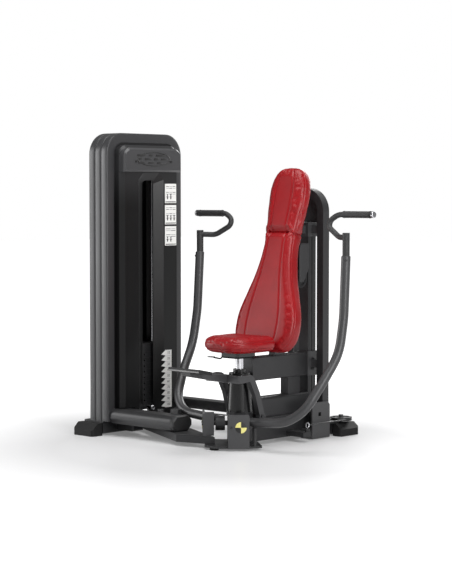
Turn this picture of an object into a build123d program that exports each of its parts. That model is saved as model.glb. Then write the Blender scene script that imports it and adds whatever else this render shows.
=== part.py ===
"""Shoulder press machine: weight tower, base frame, seat, pads, two swinging press arms and a foot pedal.

Millimetres, +Z up. The origin is on the floor, on the seat post's axis. The user sits facing -Y, with the
weight tower on the user's right, at -X. Both press arms turn about level axles that cross at the origin's
plumb line, 45 degrees either side of -Y.
"""
import os
from math import atan2, cos, degrees, radians, sin

from build123d import *

os.makedirs("parts", exist_ok=True)

# ---- driving dimensions -------------------------------------------------------------------------------
# weight tower
tower_height = 1540          # floor to the top of the arch
tower_width = 535            # across the arch, along Y
tower_gap = 726              # seat centreline to the arch's front face
tower_y = 64                 # tower centre along Y
arch_depth = 135
arch_band = 48               # thickness of the arch's flat-oval band
arch_radius = 110
base_top = 73                # top of the tower's base beam
shroud_reach = 46            # how far the front and rear covers stand out of the arch
shroud_gap = 13              # recess between arch and cover
shroud_wall = 4
shroud_bottom = 112
slot_width = 76
shroud_facet = 22            # bevel round the covers' outer faces
recess_width = 180           # funnel round the slot, at the cover's face
recess_depth = 27
slot_top = tower_height - 240
foot_width = 140             # base beams, across
foot_height = 64
boot_length = 77

# weight stack
plate_count = 10
plate_pitch = 30
plate_gap = 0.4
plate_length = 340
plate_depth = 120
top_plate_height = 40
rod_radius = 10
rod_spacing = 230
rod_clearance = 1
stack_bottom = 113
stem_radius = 13
pin_radius = 5
running_gap = 0.05           # radial gap of every shaft that turns or slides in a bore
cable_radius = 3
pulley_radius = 45
pulley_width = 16
pulley_pitch = pulley_radius - 3.5   # cable centre line round a pulley
pulley_axle_radius = 8
top_pulley_z = tower_height - 115
top_beam_z = tower_height - 210
top_beam_height = 34
cable_drop_y = 2 * (pulley_pitch + pulley_radius) + 13   # from the stack's centre to the falling cable
low_pulley_z = 142

# base frame
base_beam_width = 100
base_beam_bottom = 21
base_beam_top = 131
frame_rear = 590             # front face of the rear foot beam
rear_foot_half = 95          # rear foot beam, half length along X
plate_low = 11               # underside of the base plate
block_top = 49
side_plate_inner = 117
side_plate_wall = 8
side_plate_top = 186
side_front = 400
oblique_top = 60
oblique_width = 150
cross_tube_y = -127
cross_tube_width = 130
cross_tube_height = 74
cross_tube_z = 99
cross_tube_end = -290
cross_cap_length = 26
rear_beam_y = 320
rear_beam_width = 80
rear_beam_height = 50

# station
housing_radius = 66
housing_top = 172
housing_flat = housing_radius - 6   # axle seats on the pivot housing, out from its axis
column_top = 361
collar_top = 380
post_radius = 20
post_top = 434
seat_bottom = 468
seat_thick = 72
seat_width = 320
seat_depth = 288
seat_y = -26
upright_half = 30
upright_front = 475
upright_back = 535
upright_top = 1087
upright_groove = 5
arch2_half = 117
arch2_band = 41
arch2_top = 1258
arch2_front = 489
web_wall = 6                 # plate that closes the rear arch's round top
sleeve_wall = 6
spine_top = 230
beam_half = 30
beam_bottom = 315
beam_top = 432
beam_front = 70
pad_lean = 14.3              # degrees the back pads lean from upright
pad_thick = 96
pad_ref_y = 207              # pad's mid plane at pad_ref_z
pad_ref_z = 590

# press arms
axle_z = 114
axle_radius = 12
hub_radius = 36
hub_bore = 17
hub_near = 72                # hub's inner and outer faces, out along the axle
hub_far = 118
arm_radius = 22.5
insert_radius = 17.5
curl_radius = 13.5
grip_radius = 15.8
bracket_back = 171           # pivot bracket plate, out along the axle
bracket_wall = 10
bracket_left = -62
bracket_right = 41
bracket_top = 175
marker_radius = 27

# foot pedal
pedal_y = 45
pedal_z = 150
pedal_pin_radius = 10
fork_inner = 85
fork_wall = 26
tread_width = 213
tread_depth = 92

# ---- worked-out places --------------------------------------------------------------------------------
arch_front = -tower_gap
arch_back = arch_front - arch_depth
stack_x = arch_front - arch_depth / 2
tower_left = tower_y - tower_width / 2
tower_right = tower_y + tower_width / 2
inner_half = tower_width / 2 - arch_band
shroud_half = inner_half - shroud_gap
shroud_front = arch_front + shroud_reach
shroud_top = tower_height - arch_band - shroud_gap
recess_top = slot_top + 38
recess_taper = degrees(atan2((recess_width - slot_width) / 2 - 2, recess_depth))
foot_x = stack_x - 37
foot_front = foot_x + foot_width / 2
foot_back = foot_x - foot_width / 2
rod_offsets = (-rod_spacing / 2, rod_spacing / 2)
stack_top = stack_bottom + plate_count * plate_pitch
cable_y = tower_y + cable_drop_y
axle_names = {"left": 1, "right": -1}


def save(piece, name):
    piece.part.label = name
    export_step(piece.part, f"parts/{name}.step")


def axle_plane(side, out):
    """Plane across a press arm's axle, facing out along it, its y axis up."""
    dx, dy = side * sin(radians(45)), -cos(radians(45))
    return Plane(origin=(dx * out, dy * out, 0), x_dir=(-dy, dx, 0), z_dir=(dx, dy, 0))


def arch_outline(half, top, bottom, radius):
    """Closed arch: flat foot, straight sides and two round top corners, in the current sketch."""
    with BuildLine() as outline:
        FilletPolyline((-half, bottom), (-half, top), (half, top), (half, bottom), radius=radius)
        Line((half, bottom), (-half, bottom))
    make_face(outline.edges())


# ---- weight tower -------------------------------------------------------------------------------------
tower_plane = Plane(origin=(arch_back, tower_y, 0), x_dir=(0, 1, 0), z_dir=(1, 0, 0))

with BuildPart() as tower_arch:
    with BuildSketch(tower_plane):
        arch_outline(tower_width / 2, tower_height, base_top, arch_radius)
    extrude(amount=arch_depth)
    with BuildSketch(tower_plane):
        arch_outline(inner_half, tower_height - arch_band, base_top, arch_radius - arch_band)
    extrude(amount=arch_depth, mode=Mode.SUBTRACT)
    for share in (1 / 3, 2 / 3):
        groove_plane = tower_plane.offset(arch_depth * share - 3)
        with BuildSketch(groove_plane):
            arch_outline(tower_width / 2 + 5, tower_height + 5, base_top, arch_radius + 5)
            with BuildSketch(mode=Mode.SUBTRACT):
                arch_outline(tower_width / 2 - 3, tower_height - 3, base_top, arch_radius - 3)
        extrude(amount=6, mode=Mode.SUBTRACT)
save(tower_arch, "tower_arch")


def cover_solid(plane, reach, bottom, inset):
    """Solid arch standing out of a plane, faceted round its outer face; inset shrinks it all round."""
    with BuildPart() as shape:
        with BuildSketch(plane):
            arch_outline(shroud_half - inset, shroud_top - inset, bottom,
                         arch_radius - arch_band - shroud_gap - inset)
        extrude(amount=reach - inset)
        outer = shape.faces().sort_by(Axis(plane.origin, plane.z_dir))[-1]
        chamfer([e for e in outer.edges() if e.center().Z > bottom + 1], length=shroud_facet)
    return shape.part


def cover_shell(plane, reach, bottom):
    """Thin faceted cover standing out of the arch, open at its foot and towards the stack."""
    with BuildPart() as shell:
        add(cover_solid(plane, reach, bottom, 0))
        with BuildSketch(plane):
            arch_outline(inner_half, tower_height - arch_band, bottom, arch_radius - arch_band)
        extrude(amount=shroud_wall)
        add(cover_solid(plane, reach, bottom, shroud_wall), mode=Mode.SUBTRACT)
    return shell


def recess(grow):
    """Funnel that leads in to the slot from the cover's face; grow makes it larger all round."""
    half = recess_width / 2 + grow
    top = recess_top + grow
    with BuildPart() as shape:
        with BuildSketch(Plane(origin=(shroud_front, tower_y, 0), x_dir=(0, -1, 0), z_dir=(-1, 0, 0))):
            with BuildLine() as outline:
                Polyline((-half, 0), (-half, top - 34), (-half + 34, top), (half - 34, top),
                         (half, top - 34), (half, 0), (-half, 0))
            make_face(outline.edges())
        extrude(amount=recess_depth + grow, taper=recess_taper)
        split(bisect_by=Plane.XY.offset(shroud_bottom), keep=Keep.TOP)
    return shape.part


front_recess = 10
front_plane = Plane(origin=(arch_front - front_recess, tower_y, 0), x_dir=(0, 1, 0), z_dir=(1, 0, 0))
front_shell = cover_shell(front_plane, shroud_reach + front_recess, shroud_bottom)
with BuildPart() as tower_front_shroud:
    add(front_shell.part)
    add(recess(shroud_wall))
    add(recess(0), mode=Mode.SUBTRACT)
    with BuildSketch(front_plane):
        with BuildLine():
            FilletPolyline((-slot_width / 2, 0), (-slot_width / 2, slot_top), (slot_width / 2, slot_top),
                           (slot_width / 2, 0), radius=slot_width / 4)
            Line((slot_width / 2, 0), (-slot_width / 2, 0))
        make_face()
    extrude(amount=shroud_reach + front_recess, mode=Mode.SUBTRACT)
    notch_top = cross_tube_z + cross_tube_height / 2 + 4
    with Locations((arch_front, cross_tube_y, notch_top / 2)):
        Box(2 * (shroud_reach + front_recess), cross_tube_width + 8, notch_top, mode=Mode.SUBTRACT)
save(tower_front_shroud, "tower_front_shroud")

rear_plane = Plane(origin=(arch_back + front_recess, tower_y, 0), x_dir=(0, -1, 0), z_dir=(-1, 0, 0))
tower_rear_cover = cover_shell(rear_plane, shroud_reach + front_recess, shroud_bottom)
save(tower_rear_cover, "tower_rear_cover")

cap_bottom = slot_top + 43
cap_thick = 20
with BuildPart() as tower_cap:
    cap_plane = Plane(origin=(shroud_front - shroud_facet, tower_y, 0), x_dir=(0, 1, 0), z_dir=(1, 0, 0))
    with BuildSketch(cap_plane):
        arch_outline(shroud_half - 2, shroud_top - 14, cap_bottom, arch_radius - arch_band - shroud_gap)
    extrude(amount=shroud_facet + cap_thick)
    chamfer(tower_cap.faces().sort_by(Axis.X)[-1].edges(), length=cap_thick / 2)
    add(cover_solid(front_plane, shroud_reach + front_recess, shroud_bottom, 0), mode=Mode.SUBTRACT)
save(tower_cap, "tower_cap")

foot_lift = 8
outrigger_reach = 120
outrigger_width = 75
with BuildPart() as tower_base_beam:
    with Locations((foot_x, tower_y, (foot_lift + base_top) / 2)):
        Box(foot_width, tower_width, base_top - foot_lift)
    fillet(tower_base_beam.edges().filter_by(Axis.Y).group_by(Axis.Z)[0], radius=10)
    outrigger_y = cross_tube_y + cross_tube_width / 2 - outrigger_width / 2 + 30
    with Locations((foot_front + outrigger_reach / 2, outrigger_y, 40)):
        Box(outrigger_reach, outrigger_width, 36)
    fillet(tower_base_beam.faces().sort_by(Axis.X)[-1].edges(), radius=9)
save(tower_base_beam, "tower_base_beam")


def boot(plane, length):
    """Rubber boot on a beam's end: full section at the beam, a sloped nose outwards, flat underneath."""
    with BuildPart() as shape:
        with BuildSketch(plane):
            with Locations((0, foot_height / 2)):
                Rectangle(foot_width + 6, foot_height)
        extrude(amount=length)
        top_nose = shape.edges().filter_by(GeomType.LINE).group_by(Axis.Z)[-1]
        outer = plane.origin + plane.z_dir * length
        nose = [e for e in top_nose if abs((e.center() - outer).dot(plane.z_dir)) < 1]
        chamfer(nose, length=foot_height * 0.55, length2=length * 0.45,
                reference=shape.faces().filter_by(Axis.Z).sort_by(Axis.Z)[-1])
        fillet(shape.edges().filter_by(Axis.Z), radius=14)
    return shape.part


def end_plane(x, y, direction):
    """Upright plane at a beam's end, facing out of it, with its y axis up."""
    normal = Vector(*direction)
    side = Vector(0, 0, 1).cross(normal)
    return Plane(origin=(x, y, 0), x_dir=side, z_dir=normal)


rear_foot_y = frame_rear + foot_width / 2
with BuildPart() as rubber_boots:
    add(boot(end_plane(foot_x, tower_left, (0, -1, 0)), boot_length))
    add(boot(end_plane(foot_x, tower_right, (0, 1, 0)), boot_length))
    add(boot(end_plane(rear_foot_half, rear_foot_y, (1, 0, 0)), boot_length - 15))
    add(boot(end_plane(-rear_foot_half, rear_foot_y, (-1, 0, 0)), boot_length - 15))
save(rubber_boots, "rubber_boots")

with BuildPart() as tower_top_beam:
    with Locations((stack_x, tower_y, top_beam_z + top_beam_height / 2)):
        Box(70, 2 * inner_half, top_beam_height)
    for y in (tower_y, cable_y):
        with Locations((stack_x, y, top_beam_z + top_beam_height / 2)):
            Cylinder(cable_radius + 7, top_beam_height, mode=Mode.SUBTRACT)
save(tower_top_beam, "tower_top_beam")

with BuildPart() as guide_rods:
    with Locations(*[(stack_x, tower_y + d, (base_top + top_beam_z) / 2) for d in rod_offsets]):
        Cylinder(rod_radius, top_beam_z - base_top)
save(guide_rods, "guide_rods")

with BuildPart() as stack_bumpers:
    with Locations(*[(stack_x, tower_y + d, (base_top + stack_bottom) / 2) for d in rod_offsets]):
        Cylinder(28, stack_bottom - base_top)
        Cylinder(rod_radius + running_gap, stack_bottom - base_top, mode=Mode.SUBTRACT)
save(stack_bumpers, "stack_bumpers")


def rod_holes(z, height):
    """Clearance holes for both guide rods, cut from the part in hand."""
    with Locations(*[(stack_x, tower_y + d, z) for d in rod_offsets]):
        Cylinder(rod_radius + rod_clearance, height, mode=Mode.SUBTRACT)


with BuildPart() as weight_plates:
    plate_height = plate_pitch - plate_gap
    for i in range(plate_count):
        z = stack_bottom + plate_pitch * i + plate_height / 2
        with BuildPart(mode=Mode.PRIVATE) as plate:
            with Locations((stack_x, tower_y, z)):
                Box(plate_depth, plate_length, plate_height)
            chamfer(plate.edges().filter_by(Axis.Z), length=12)
            rod_holes(z, plate_height)
            with Locations((stack_x, tower_y, z)):
                Cylinder(stem_radius + rod_clearance, plate_height, mode=Mode.SUBTRACT)
            with Locations((stack_x + plate_depth / 4, tower_y, z)):
                Cylinder(pin_radius + running_gap, plate_depth / 2, rotation=(0, 90, 0), mode=Mode.SUBTRACT)
        add(plate.part)
save(weight_plates, "weight_plates")

with BuildPart() as top_plate:
    with Locations((stack_x, tower_y, stack_top + top_plate_height / 2)):
        Box(plate_depth, plate_length, top_plate_height)
    chamfer(top_plate.edges().filter_by(Axis.Z), length=12)
    rod_holes(stack_top + top_plate_height / 2, top_plate_height)
    with Locations((stack_x, tower_y, stack_top + top_plate_height / 2)):
        Cylinder(stem_radius + running_gap, top_plate_height, mode=Mode.SUBTRACT)
save(top_plate, "top_plate")

stem_bottom = stack_bottom + 4
stem_head = stack_top + top_plate_height
stem_eye = stem_head + 46
with BuildPart() as selector_stem:
    with Locations((stack_x, tower_y, (stem_bottom + stem_head) / 2)):
        Cylinder(stem_radius, stem_head - stem_bottom)
    with Locations((stack_x, tower_y, (stem_head + stem_eye) / 2)):
        Cylinder(stem_radius + 6, stem_eye - stem_head)
    for i in range(plate_count):
        with Locations((stack_x, tower_y, stack_bottom + plate_pitch * (i + 0.5) - plate_gap / 2)):
            Cylinder(pin_radius + running_gap, 3 * stem_radius, rotation=(0, 90, 0), mode=Mode.SUBTRACT)
save(selector_stem, "selector_stem")

pin_z = stack_bottom + plate_height / 2
pin_tail = stack_x - stem_radius + 1
knob_x = stack_x + plate_depth / 2 + 30
knob_length = 36
knob_radius = 13
with BuildPart() as selector_pin:
    with BuildSketch(Plane(origin=(pin_tail, tower_y, pin_z), x_dir=(0, 1, 0), z_dir=(1, 0, 0))):
        Circle(pin_radius)
    extrude(amount=knob_x - pin_tail)
    with BuildSketch(Plane(origin=(knob_x, tower_y, pin_z), x_dir=(0, 1, 0), z_dir=(1, 0, 0))):
        Circle(knob_radius)
    extrude(amount=knob_length)
    fillet(selector_pin.faces().sort_by(Axis.X)[-1].edges(), radius=6)
save(selector_pin, "selector_pin")


def pulley(plane, radius, bore):
    """Grooved pulley centred on the plane, its axis along the plane's normal."""
    groove = radius - 7
    with BuildPart() as shape:
        with BuildSketch(plane.offset(-pulley_width / 2)):
            Circle(radius)
            Circle(bore, mode=Mode.SUBTRACT)
        extrude(amount=pulley_width)
        with BuildSketch(plane.offset(-pulley_width / 4)):
            Circle(radius + 1)
            Circle(groove, mode=Mode.SUBTRACT)
        extrude(amount=pulley_width / 2, mode=Mode.SUBTRACT)
        for face_offset in (-pulley_width / 2, pulley_width / 2 - 3):
            with BuildSketch(plane.offset(face_offset)):
                Circle(groove - 6)
                Circle(bore + 6, mode=Mode.SUBTRACT)
            extrude(amount=3, mode=Mode.SUBTRACT)
    return shape


def yz_plane(x, y, z):
    return Plane(origin=(x, y, z), x_dir=(0, 1, 0), z_dir=(1, 0, 0))


def xz_plane(x, y, z):
    return Plane(origin=(x, y, z), x_dir=(1, 0, 0), z_dir=(0, -1, 0))


inner_pulley_y = tower_y + pulley_pitch
outer_pulley_y = cable_y - pulley_pitch
low_pulley_x = stack_x + pulley_pitch
pulley_bore = pulley_axle_radius + running_gap
top_pulley_inner = pulley(yz_plane(stack_x, inner_pulley_y, top_pulley_z), pulley_radius, pulley_bore)
save(top_pulley_inner, "top_pulley_inner")
top_pulley_outer = pulley(yz_plane(stack_x, outer_pulley_y, top_pulley_z), pulley_radius, pulley_bore)
save(top_pulley_outer, "top_pulley_outer")
low_pulley = pulley(xz_plane(low_pulley_x, cable_y, low_pulley_z), pulley_radius, pulley_bore)
save(low_pulley, "low_pulley")

back_pulley_radius = 48
back_pulley_x = 22
back_pulley_y = upright_front - back_pulley_radius - 7
back_pulley_z = 806
back_pulley = pulley(yz_plane(back_pulley_x, back_pulley_y, back_pulley_z), back_pulley_radius, pulley_bore)
save(back_pulley, "back_pulley")

rear_pulley_radius = 56
rear_pulley_x = 100
rear_pulley_y = 655
rear_pulley_z = 84
rear_pulley_plane = Plane(origin=(rear_pulley_x, rear_pulley_y, rear_pulley_z))
rear_pulley = pulley(rear_pulley_plane, rear_pulley_radius, pulley_bore)
save(rear_pulley, "rear_pulley")

ear_wall = 4
ear_offset = pulley_width / 2 + 2
with BuildPart() as pulley_brackets:
    top_face = top_beam_z + top_beam_height
    ear_height = top_pulley_z + 16 - top_face
    for y in (inner_pulley_y, outer_pulley_y):
        for side in (-1, 1):
            x = stack_x + side * (ear_offset + ear_wall / 2)
            with Locations((x, y, top_face + ear_height / 2)):
                Box(ear_wall, 34, ear_height)
        with BuildSketch(yz_plane(stack_x - ear_offset, y, top_pulley_z)):
            Circle(pulley_axle_radius)
        extrude(amount=2 * ear_offset)
    for side in (-1, 1):
        y = cable_y + side * (ear_offset + ear_wall / 2)
        with Locations((low_pulley_x, y, (base_top + low_pulley_z + 16) / 2)):
            Box(76, ear_wall, low_pulley_z + 16 - base_top)
    with BuildSketch(xz_plane(low_pulley_x, cable_y + ear_offset, low_pulley_z)):
        Circle(pulley_axle_radius)
    extrude(amount=2 * ear_offset)
    for side in (-1, 1):
        x = back_pulley_x + side * (ear_offset + ear_wall / 2)
        with BuildSketch(yz_plane(x - ear_wall / 2, back_pulley_y, back_pulley_z)):
            with BuildLine():
                Polyline((-18, -18), (18, -18), (upright_front - back_pulley_y, 52),
                         (upright_front - back_pulley_y, 176), (-6, 176), (-18, 150), (-18, -18))
            make_face()
        extrude(amount=ear_wall)
    with BuildSketch(yz_plane(back_pulley_x - ear_offset, back_pulley_y, back_pulley_z)):
        Circle(pulley_axle_radius)
    extrude(amount=2 * ear_offset)
    with BuildSketch(Plane(origin=(rear_pulley_x, rear_pulley_y, foot_height))):
        Circle(pulley_axle_radius)
    extrude(amount=rear_pulley_z + pulley_width / 2 + 2 - foot_height)
    with BuildSketch(Plane(origin=(rear_pulley_x, rear_pulley_y, rear_pulley_z + pulley_width / 2 + 2))):
        RegularPolygon(13, 6)
    extrude(amount=10)
save(pulley_brackets, "pulley_brackets")


def cable(points, radii):
    """Round cable along straight runs joined by arcs."""
    with BuildPart() as shape:
        with BuildLine():
            path = FilletPolyline(*points, radius=radii) if radii else Line(*points)
        with BuildSketch(Plane(origin=path @ 0, z_dir=path % 0)):
            Circle(cable_radius)
        sweep()
    return shape


cable_join = top_pulley_z - 10
low_run_z = low_pulley_z - pulley_pitch
stack_cable = cable([(stack_x, tower_y, stem_eye), (stack_x, tower_y, cable_join)], None)
save(stack_cable, "stack_cable")
tower_cable = cable(
    [(stack_x, tower_y, cable_join), (stack_x, tower_y, top_pulley_z + pulley_pitch),
     (stack_x, cable_y, top_pulley_z + pulley_pitch), (stack_x, cable_y, low_run_z),
     (-base_beam_width / 2, cable_y, low_run_z)],
    [pulley_pitch, pulley_pitch, pulley_pitch])
save(tower_cable, "tower_cable")

rear_pitch = rear_pulley_radius - 3.5
ring_y = 330
ring_x = rear_pulley_x + rear_pitch
with BuildPart() as station_cables:
    back_run_y = back_pulley_y - (back_pulley_radius - 3.5)
    with Locations((back_pulley_x, back_run_y, (beam_top + back_pulley_z) / 2)):
        Cylinder(cable_radius, back_pulley_z - beam_top)
    with BuildLine():
        loop = FilletPolyline((rear_pulley_x - rear_pitch, frame_rear, rear_pulley_z),
                              (rear_pulley_x - rear_pitch, rear_pulley_y + rear_pitch, rear_pulley_z),
                              (ring_x, rear_pulley_y + rear_pitch, rear_pulley_z),
                              (ring_x, ring_y + 12, rear_pulley_z), radius=rear_pitch - 0.01)
    with BuildSketch(Plane(origin=loop @ 0, z_dir=loop % 0)):
        Circle(cable_radius)
    sweep()
    with Locations((ring_x, ring_y, rear_pulley_z)):
        Torus(14, 3, rotation=(0, 90, 0))
save(station_cables, "station_cables")

strip_y = tower_y + recess_width / 2 + 9
strip_width = 46
tooth_reach = 28
label_y = strip_y + 41
label_pitch = 110
label_low = slot_top - 287
strip_bottom = stack_bottom + 6
strip_thick = 1
with BuildPart() as tower_labels:
    with BuildSketch(yz_plane(shroud_front, strip_y, 0)):
        with Locations((strip_width / 2, strip_bottom + plate_count * plate_pitch / 2)):
            Rectangle(strip_width, plate_count * plate_pitch)
        for i in range(plate_count):
            low = strip_bottom + plate_pitch * i
            with BuildLine():
                Polyline((0, low + 2), (0, low + plate_pitch - 2), (-tooth_reach, low + 8), (0, low + 2))
            make_face()
    extrude(amount=strip_thick)
    for i in range(3):
        with Locations((shroud_front + strip_thick / 2, label_y, label_low + label_pitch * i)):
            Box(strip_thick, 82, 100)
save(tower_labels, "tower_labels")

# ---- base frame ---------------------------------------------------------------------------------------
oblique_near = (-225, -213)
oblique_far = (-19, -155)
oblique_slope = -0.482
with BuildPart() as oblique_beam:
    with BuildSketch(Plane.XY.offset(base_beam_bottom)):
        with BuildLine():
            reach = foot_front
            Polyline(oblique_near, oblique_far,
                     (reach, oblique_far[1] + oblique_slope * (reach - oblique_far[0])),
                     (reach, oblique_near[1] + oblique_slope * (reach - oblique_near[0])), oblique_near)
        make_face()
    extrude(amount=oblique_top - base_beam_bottom)
    fillet(oblique_beam.edges().group_by(Axis.Z)[-1], radius=6)
save(oblique_beam, "oblique_beam")

with BuildPart() as cross_tube:
    with BuildSketch(yz_plane(arch_front, cross_tube_y, cross_tube_z)):
        RectangleRounded(cross_tube_width, cross_tube_height, cross_tube_height / 2 - 4)
    extrude(amount=cross_tube_end - arch_front)
save(cross_tube, "cross_tube")

with BuildPart() as cross_tube_cap:
    with BuildSketch(yz_plane(cross_tube_end, cross_tube_y, cross_tube_z)):
        Rectangle(cross_tube_width + 4, cross_tube_height + 4)
        chamfer(vertices(), length=26)
    extrude(amount=cross_cap_length)
    chamfer(cross_tube_cap.faces().sort_by(Axis.X)[-1].edges(), length=6)
save(cross_tube_cap, "cross_tube_cap")

# route of a press arm's tube: distance out from the station's centreline, then Y and Z
arm_corners = [(67, -67, 128), (408, -42, 150), (463, 81, 340), (486, 172, 470), (486, 205, 640),
               (484, 223, 950)]
arm_top = 933                # the lower tube is cut level here
arm_bends = [180, 700, 300, 500]
tube_run = Vector(*arm_corners[1]) - Vector(*arm_corners[0])


def arm_point(share, drop=0):
    """Point on the arm tube's lower run, as a share of that run, moved down by drop."""
    return Vector(*arm_corners[0]) + tube_run * share - Vector(0, 0, drop)


rest_gap = 4.5
with BuildPart() as arm_stops:
    pad_at = arm_point(0.83)
    with Locations((-pad_at.X, cross_tube_y + cross_tube_width / 2 - 12, cross_tube_z + 36)):
        Box(50, 56, 50)
    with BuildSketch(yz_plane(-pad_at.X - 30, cross_tube_y, cross_tube_z)):
        RectangleRounded(cross_tube_width + 1, cross_tube_height + 1, cross_tube_height / 2 - 3.5)
    extrude(amount=60, mode=Mode.SUBTRACT)
    start = Vector(-arm_corners[0][0], arm_corners[0][1], arm_corners[0][2])
    run = Vector(-tube_run.X, tube_run.Y, tube_run.Z)
    with BuildSketch(Plane(origin=start, z_dir=run)):
        Circle(arm_radius + rest_gap)
    extrude(amount=run.length * 1.2, mode=Mode.SUBTRACT)
    post_at = arm_point(0.26)
    post_height = post_at.Z - arm_radius - 2.5 - base_beam_bottom
    with Locations((post_at.X, post_at.Y, base_beam_bottom + post_height / 2)):
        Cylinder(10, post_height)
save(arm_stops, "arm_stops")

with BuildPart() as rear_cross_beam:
    with BuildSketch(yz_plane(arch_front, rear_beam_y, base_beam_top + 2)):
        RectangleRounded(rear_beam_width, rear_beam_height, 8)
    extrude(amount=-base_beam_width / 2 - arch_front)
    with Locations((-190, rear_beam_y, base_beam_top + 2 + rear_beam_height / 2 + 5)):
        Cylinder(9, 10)
save(rear_cross_beam, "rear_cross_beam")

with BuildPart() as base_beam:
    with Locations((0, (40 + frame_rear) / 2, (base_beam_bottom + base_beam_top) / 2)):
        Box(base_beam_width, frame_rear - 40, base_beam_top - base_beam_bottom)
    with Locations((0, rear_foot_y, (foot_lift + foot_height) / 2)):
        Box(2 * rear_foot_half, foot_width, foot_height - foot_lift)
    with Locations((0, 0, (base_beam_bottom + base_beam_top) / 2)):
        Cylinder(housing_radius, base_beam_top - base_beam_bottom, mode=Mode.SUBTRACT)
    ring_block = (base_beam_width / 2 + ring_x + 12) / 2
    with Locations((ring_block, ring_y - 15, 40)):
        Box(2 * (ring_block - base_beam_width / 2), 56, 24)
    with Locations((ring_x, ring_y, 59)):
        Box(10, 26, 14)
save(base_beam, "base_beam")

plate_corners = []
for across in (bracket_left, bracket_right):
    reach = (bracket_back + across) * cos(radians(45))
    plate_corners.append((reach, (across - bracket_back) * cos(radians(45))))
nose_y = -205
with BuildPart() as base_plate:
    right_edge = [(40, nose_y), plate_corners[0], plate_corners[1], (175, -30), (60, housing_radius)]
    with BuildSketch(Plane.XY.offset(plate_low)):
        with BuildLine():
            Polyline(*right_edge, *[(-x, y) for x, y in reversed(right_edge)], right_edge[0])
        make_face()
    extrude(amount=base_beam_bottom - plate_low)
save(base_plate, "base_plate")

with BuildPart() as levelling_feet:
    for x, y, radius in ((0, 0, 30), (0, -180, 22)):
        with Locations((x, y, plate_low / 2)):
            Cylinder(radius, plate_low)
save(levelling_feet, "levelling_feet")

with BuildPart() as side_plates:
    side_back = arch2_front + 47
    for side in (-1, 1):
        block_out = side_plate_inner + side_plate_wall
        with Locations((side * (block_out + base_beam_width / 2) / 2, (side_front + side_back) / 2,
                        (4 + block_top) / 2)):
            Box(block_out - base_beam_width / 2, side_back - side_front, block_top - 4)
        with BuildPart(mode=Mode.PRIVATE) as cheek:
            with Locations((side * (side_plate_inner + side_plate_wall / 2), (side_front + side_back) / 2,
                            (block_top + side_plate_top) / 2)):
                Box(side_plate_wall, side_back - side_front, side_plate_top - block_top)
            chamfer(cheek.edges().filter_by(Axis.X).group_by(Axis.Z)[-1], length=16)
            with Locations((side * side_plate_inner, (side_front + side_back) / 2 - 10, 125)):
                Box(40, 20, 20, mode=Mode.SUBTRACT)
        add(cheek.part)
save(side_plates, "side_plates")

with BuildPart() as pivot_housing:
    with Locations((0, 0, (base_beam_bottom + housing_top) / 2)):
        Cylinder(housing_radius, housing_top - base_beam_bottom)
    for side in (1, -1):
        with BuildSketch(axle_plane(side, housing_flat)):
            with Locations((0, axle_z)):
                Rectangle(2 * housing_radius, 3 * housing_radius)
        extrude(amount=20, mode=Mode.SUBTRACT)
        with BuildSketch(axle_plane(side, housing_flat)):
            with Locations((0, axle_z)):
                Circle(axle_radius)
        extrude(amount=bracket_back - housing_flat)
    with BuildSketch(yz_plane(-fork_inner - fork_wall - 6, pedal_y, pedal_z)):
        Circle(pedal_pin_radius)
    extrude(amount=2 * (fork_inner + fork_wall + 6))
save(pivot_housing, "pivot_housing")

with BuildPart() as pivot_brackets:
    for side, foot in ((1, plate_low), (-1, oblique_top)):
        low, high = sorted((side * bracket_left, side * bracket_right))
        with BuildSketch(axle_plane(side, bracket_back)):
            with BuildLine():
                Polyline((low, foot), (high, foot), (high, bracket_top - 6), (high - 6, bracket_top),
                         (low + 6, bracket_top), (low, bracket_top - 6), (low, foot))
            make_face()
        extrude(amount=bracket_wall)
        rise = max(foot, base_beam_bottom)
        with BuildSketch(axle_plane(side, bracket_back)):
            with Locations((side * (bracket_left + 4), (rise + bracket_top) / 2)):
                Rectangle(8, bracket_top - rise)
        extrude(amount=-45)
save(pivot_brackets, "pivot_brackets")

with BuildPart() as pivot_markers:
    for side in (1, -1):
        with BuildSketch(axle_plane(side, bracket_back + bracket_wall)):
            with Locations((0, axle_z)):
                Circle(marker_radius)
        extrude(amount=2)
        with BuildSketch(axle_plane(side, bracket_back + bracket_wall)):
            with Locations((-42, axle_z), (42, axle_z)):
                Circle(5)
        extrude(amount=3)
save(pivot_markers, "pivot_markers")

# ---- seat and back ------------------------------------------------------------------------------------
with BuildPart() as seat_column:
    with BuildSketch(Plane.XY.offset(housing_top)):
        Circle(housing_radius - 2)
    with BuildSketch(Plane.XY.offset(column_top)):
        Circle(housing_radius - 14)
    loft()
    with Locations((0, 0, (column_top + collar_top) / 2)):
        Cylinder(post_radius + 12, collar_top - column_top)
    with Locations((0, 0, (housing_top + collar_top) / 2)):
        Cylinder(post_radius + running_gap, collar_top - housing_top, mode=Mode.SUBTRACT)
save(seat_column, "seat_column")

post_bottom = housing_top + 6
with BuildPart() as seat_post:
    with Locations((0, 0, (post_bottom + post_top) / 2)):
        Cylinder(post_radius, post_top - post_bottom)
save(seat_post, "seat_post")

lever_x = -72
lever_y = -30
lever_z = 451
lever_pin = 3
with BuildPart() as seat_carriage:
    with Locations((0, -10, (post_top + seat_bottom) / 2)):
        Box(120, 140, seat_bottom - post_top)
    chamfer(seat_carriage.edges().filter_by(Axis.Z), length=14)
    chamfer(seat_carriage.faces().sort_by(Axis.Z)[0].edges(), length=8)
    for side in (-1, 1):
        with Locations((lever_x + 8, lever_y + side * 13, lever_z)):
            Box(30, 5, 20)
    with BuildSketch(xz_plane(lever_x, lever_y + 15.5, lever_z)):
        Circle(lever_pin)
    extrude(amount=31)
save(seat_carriage, "seat_carriage")

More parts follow.
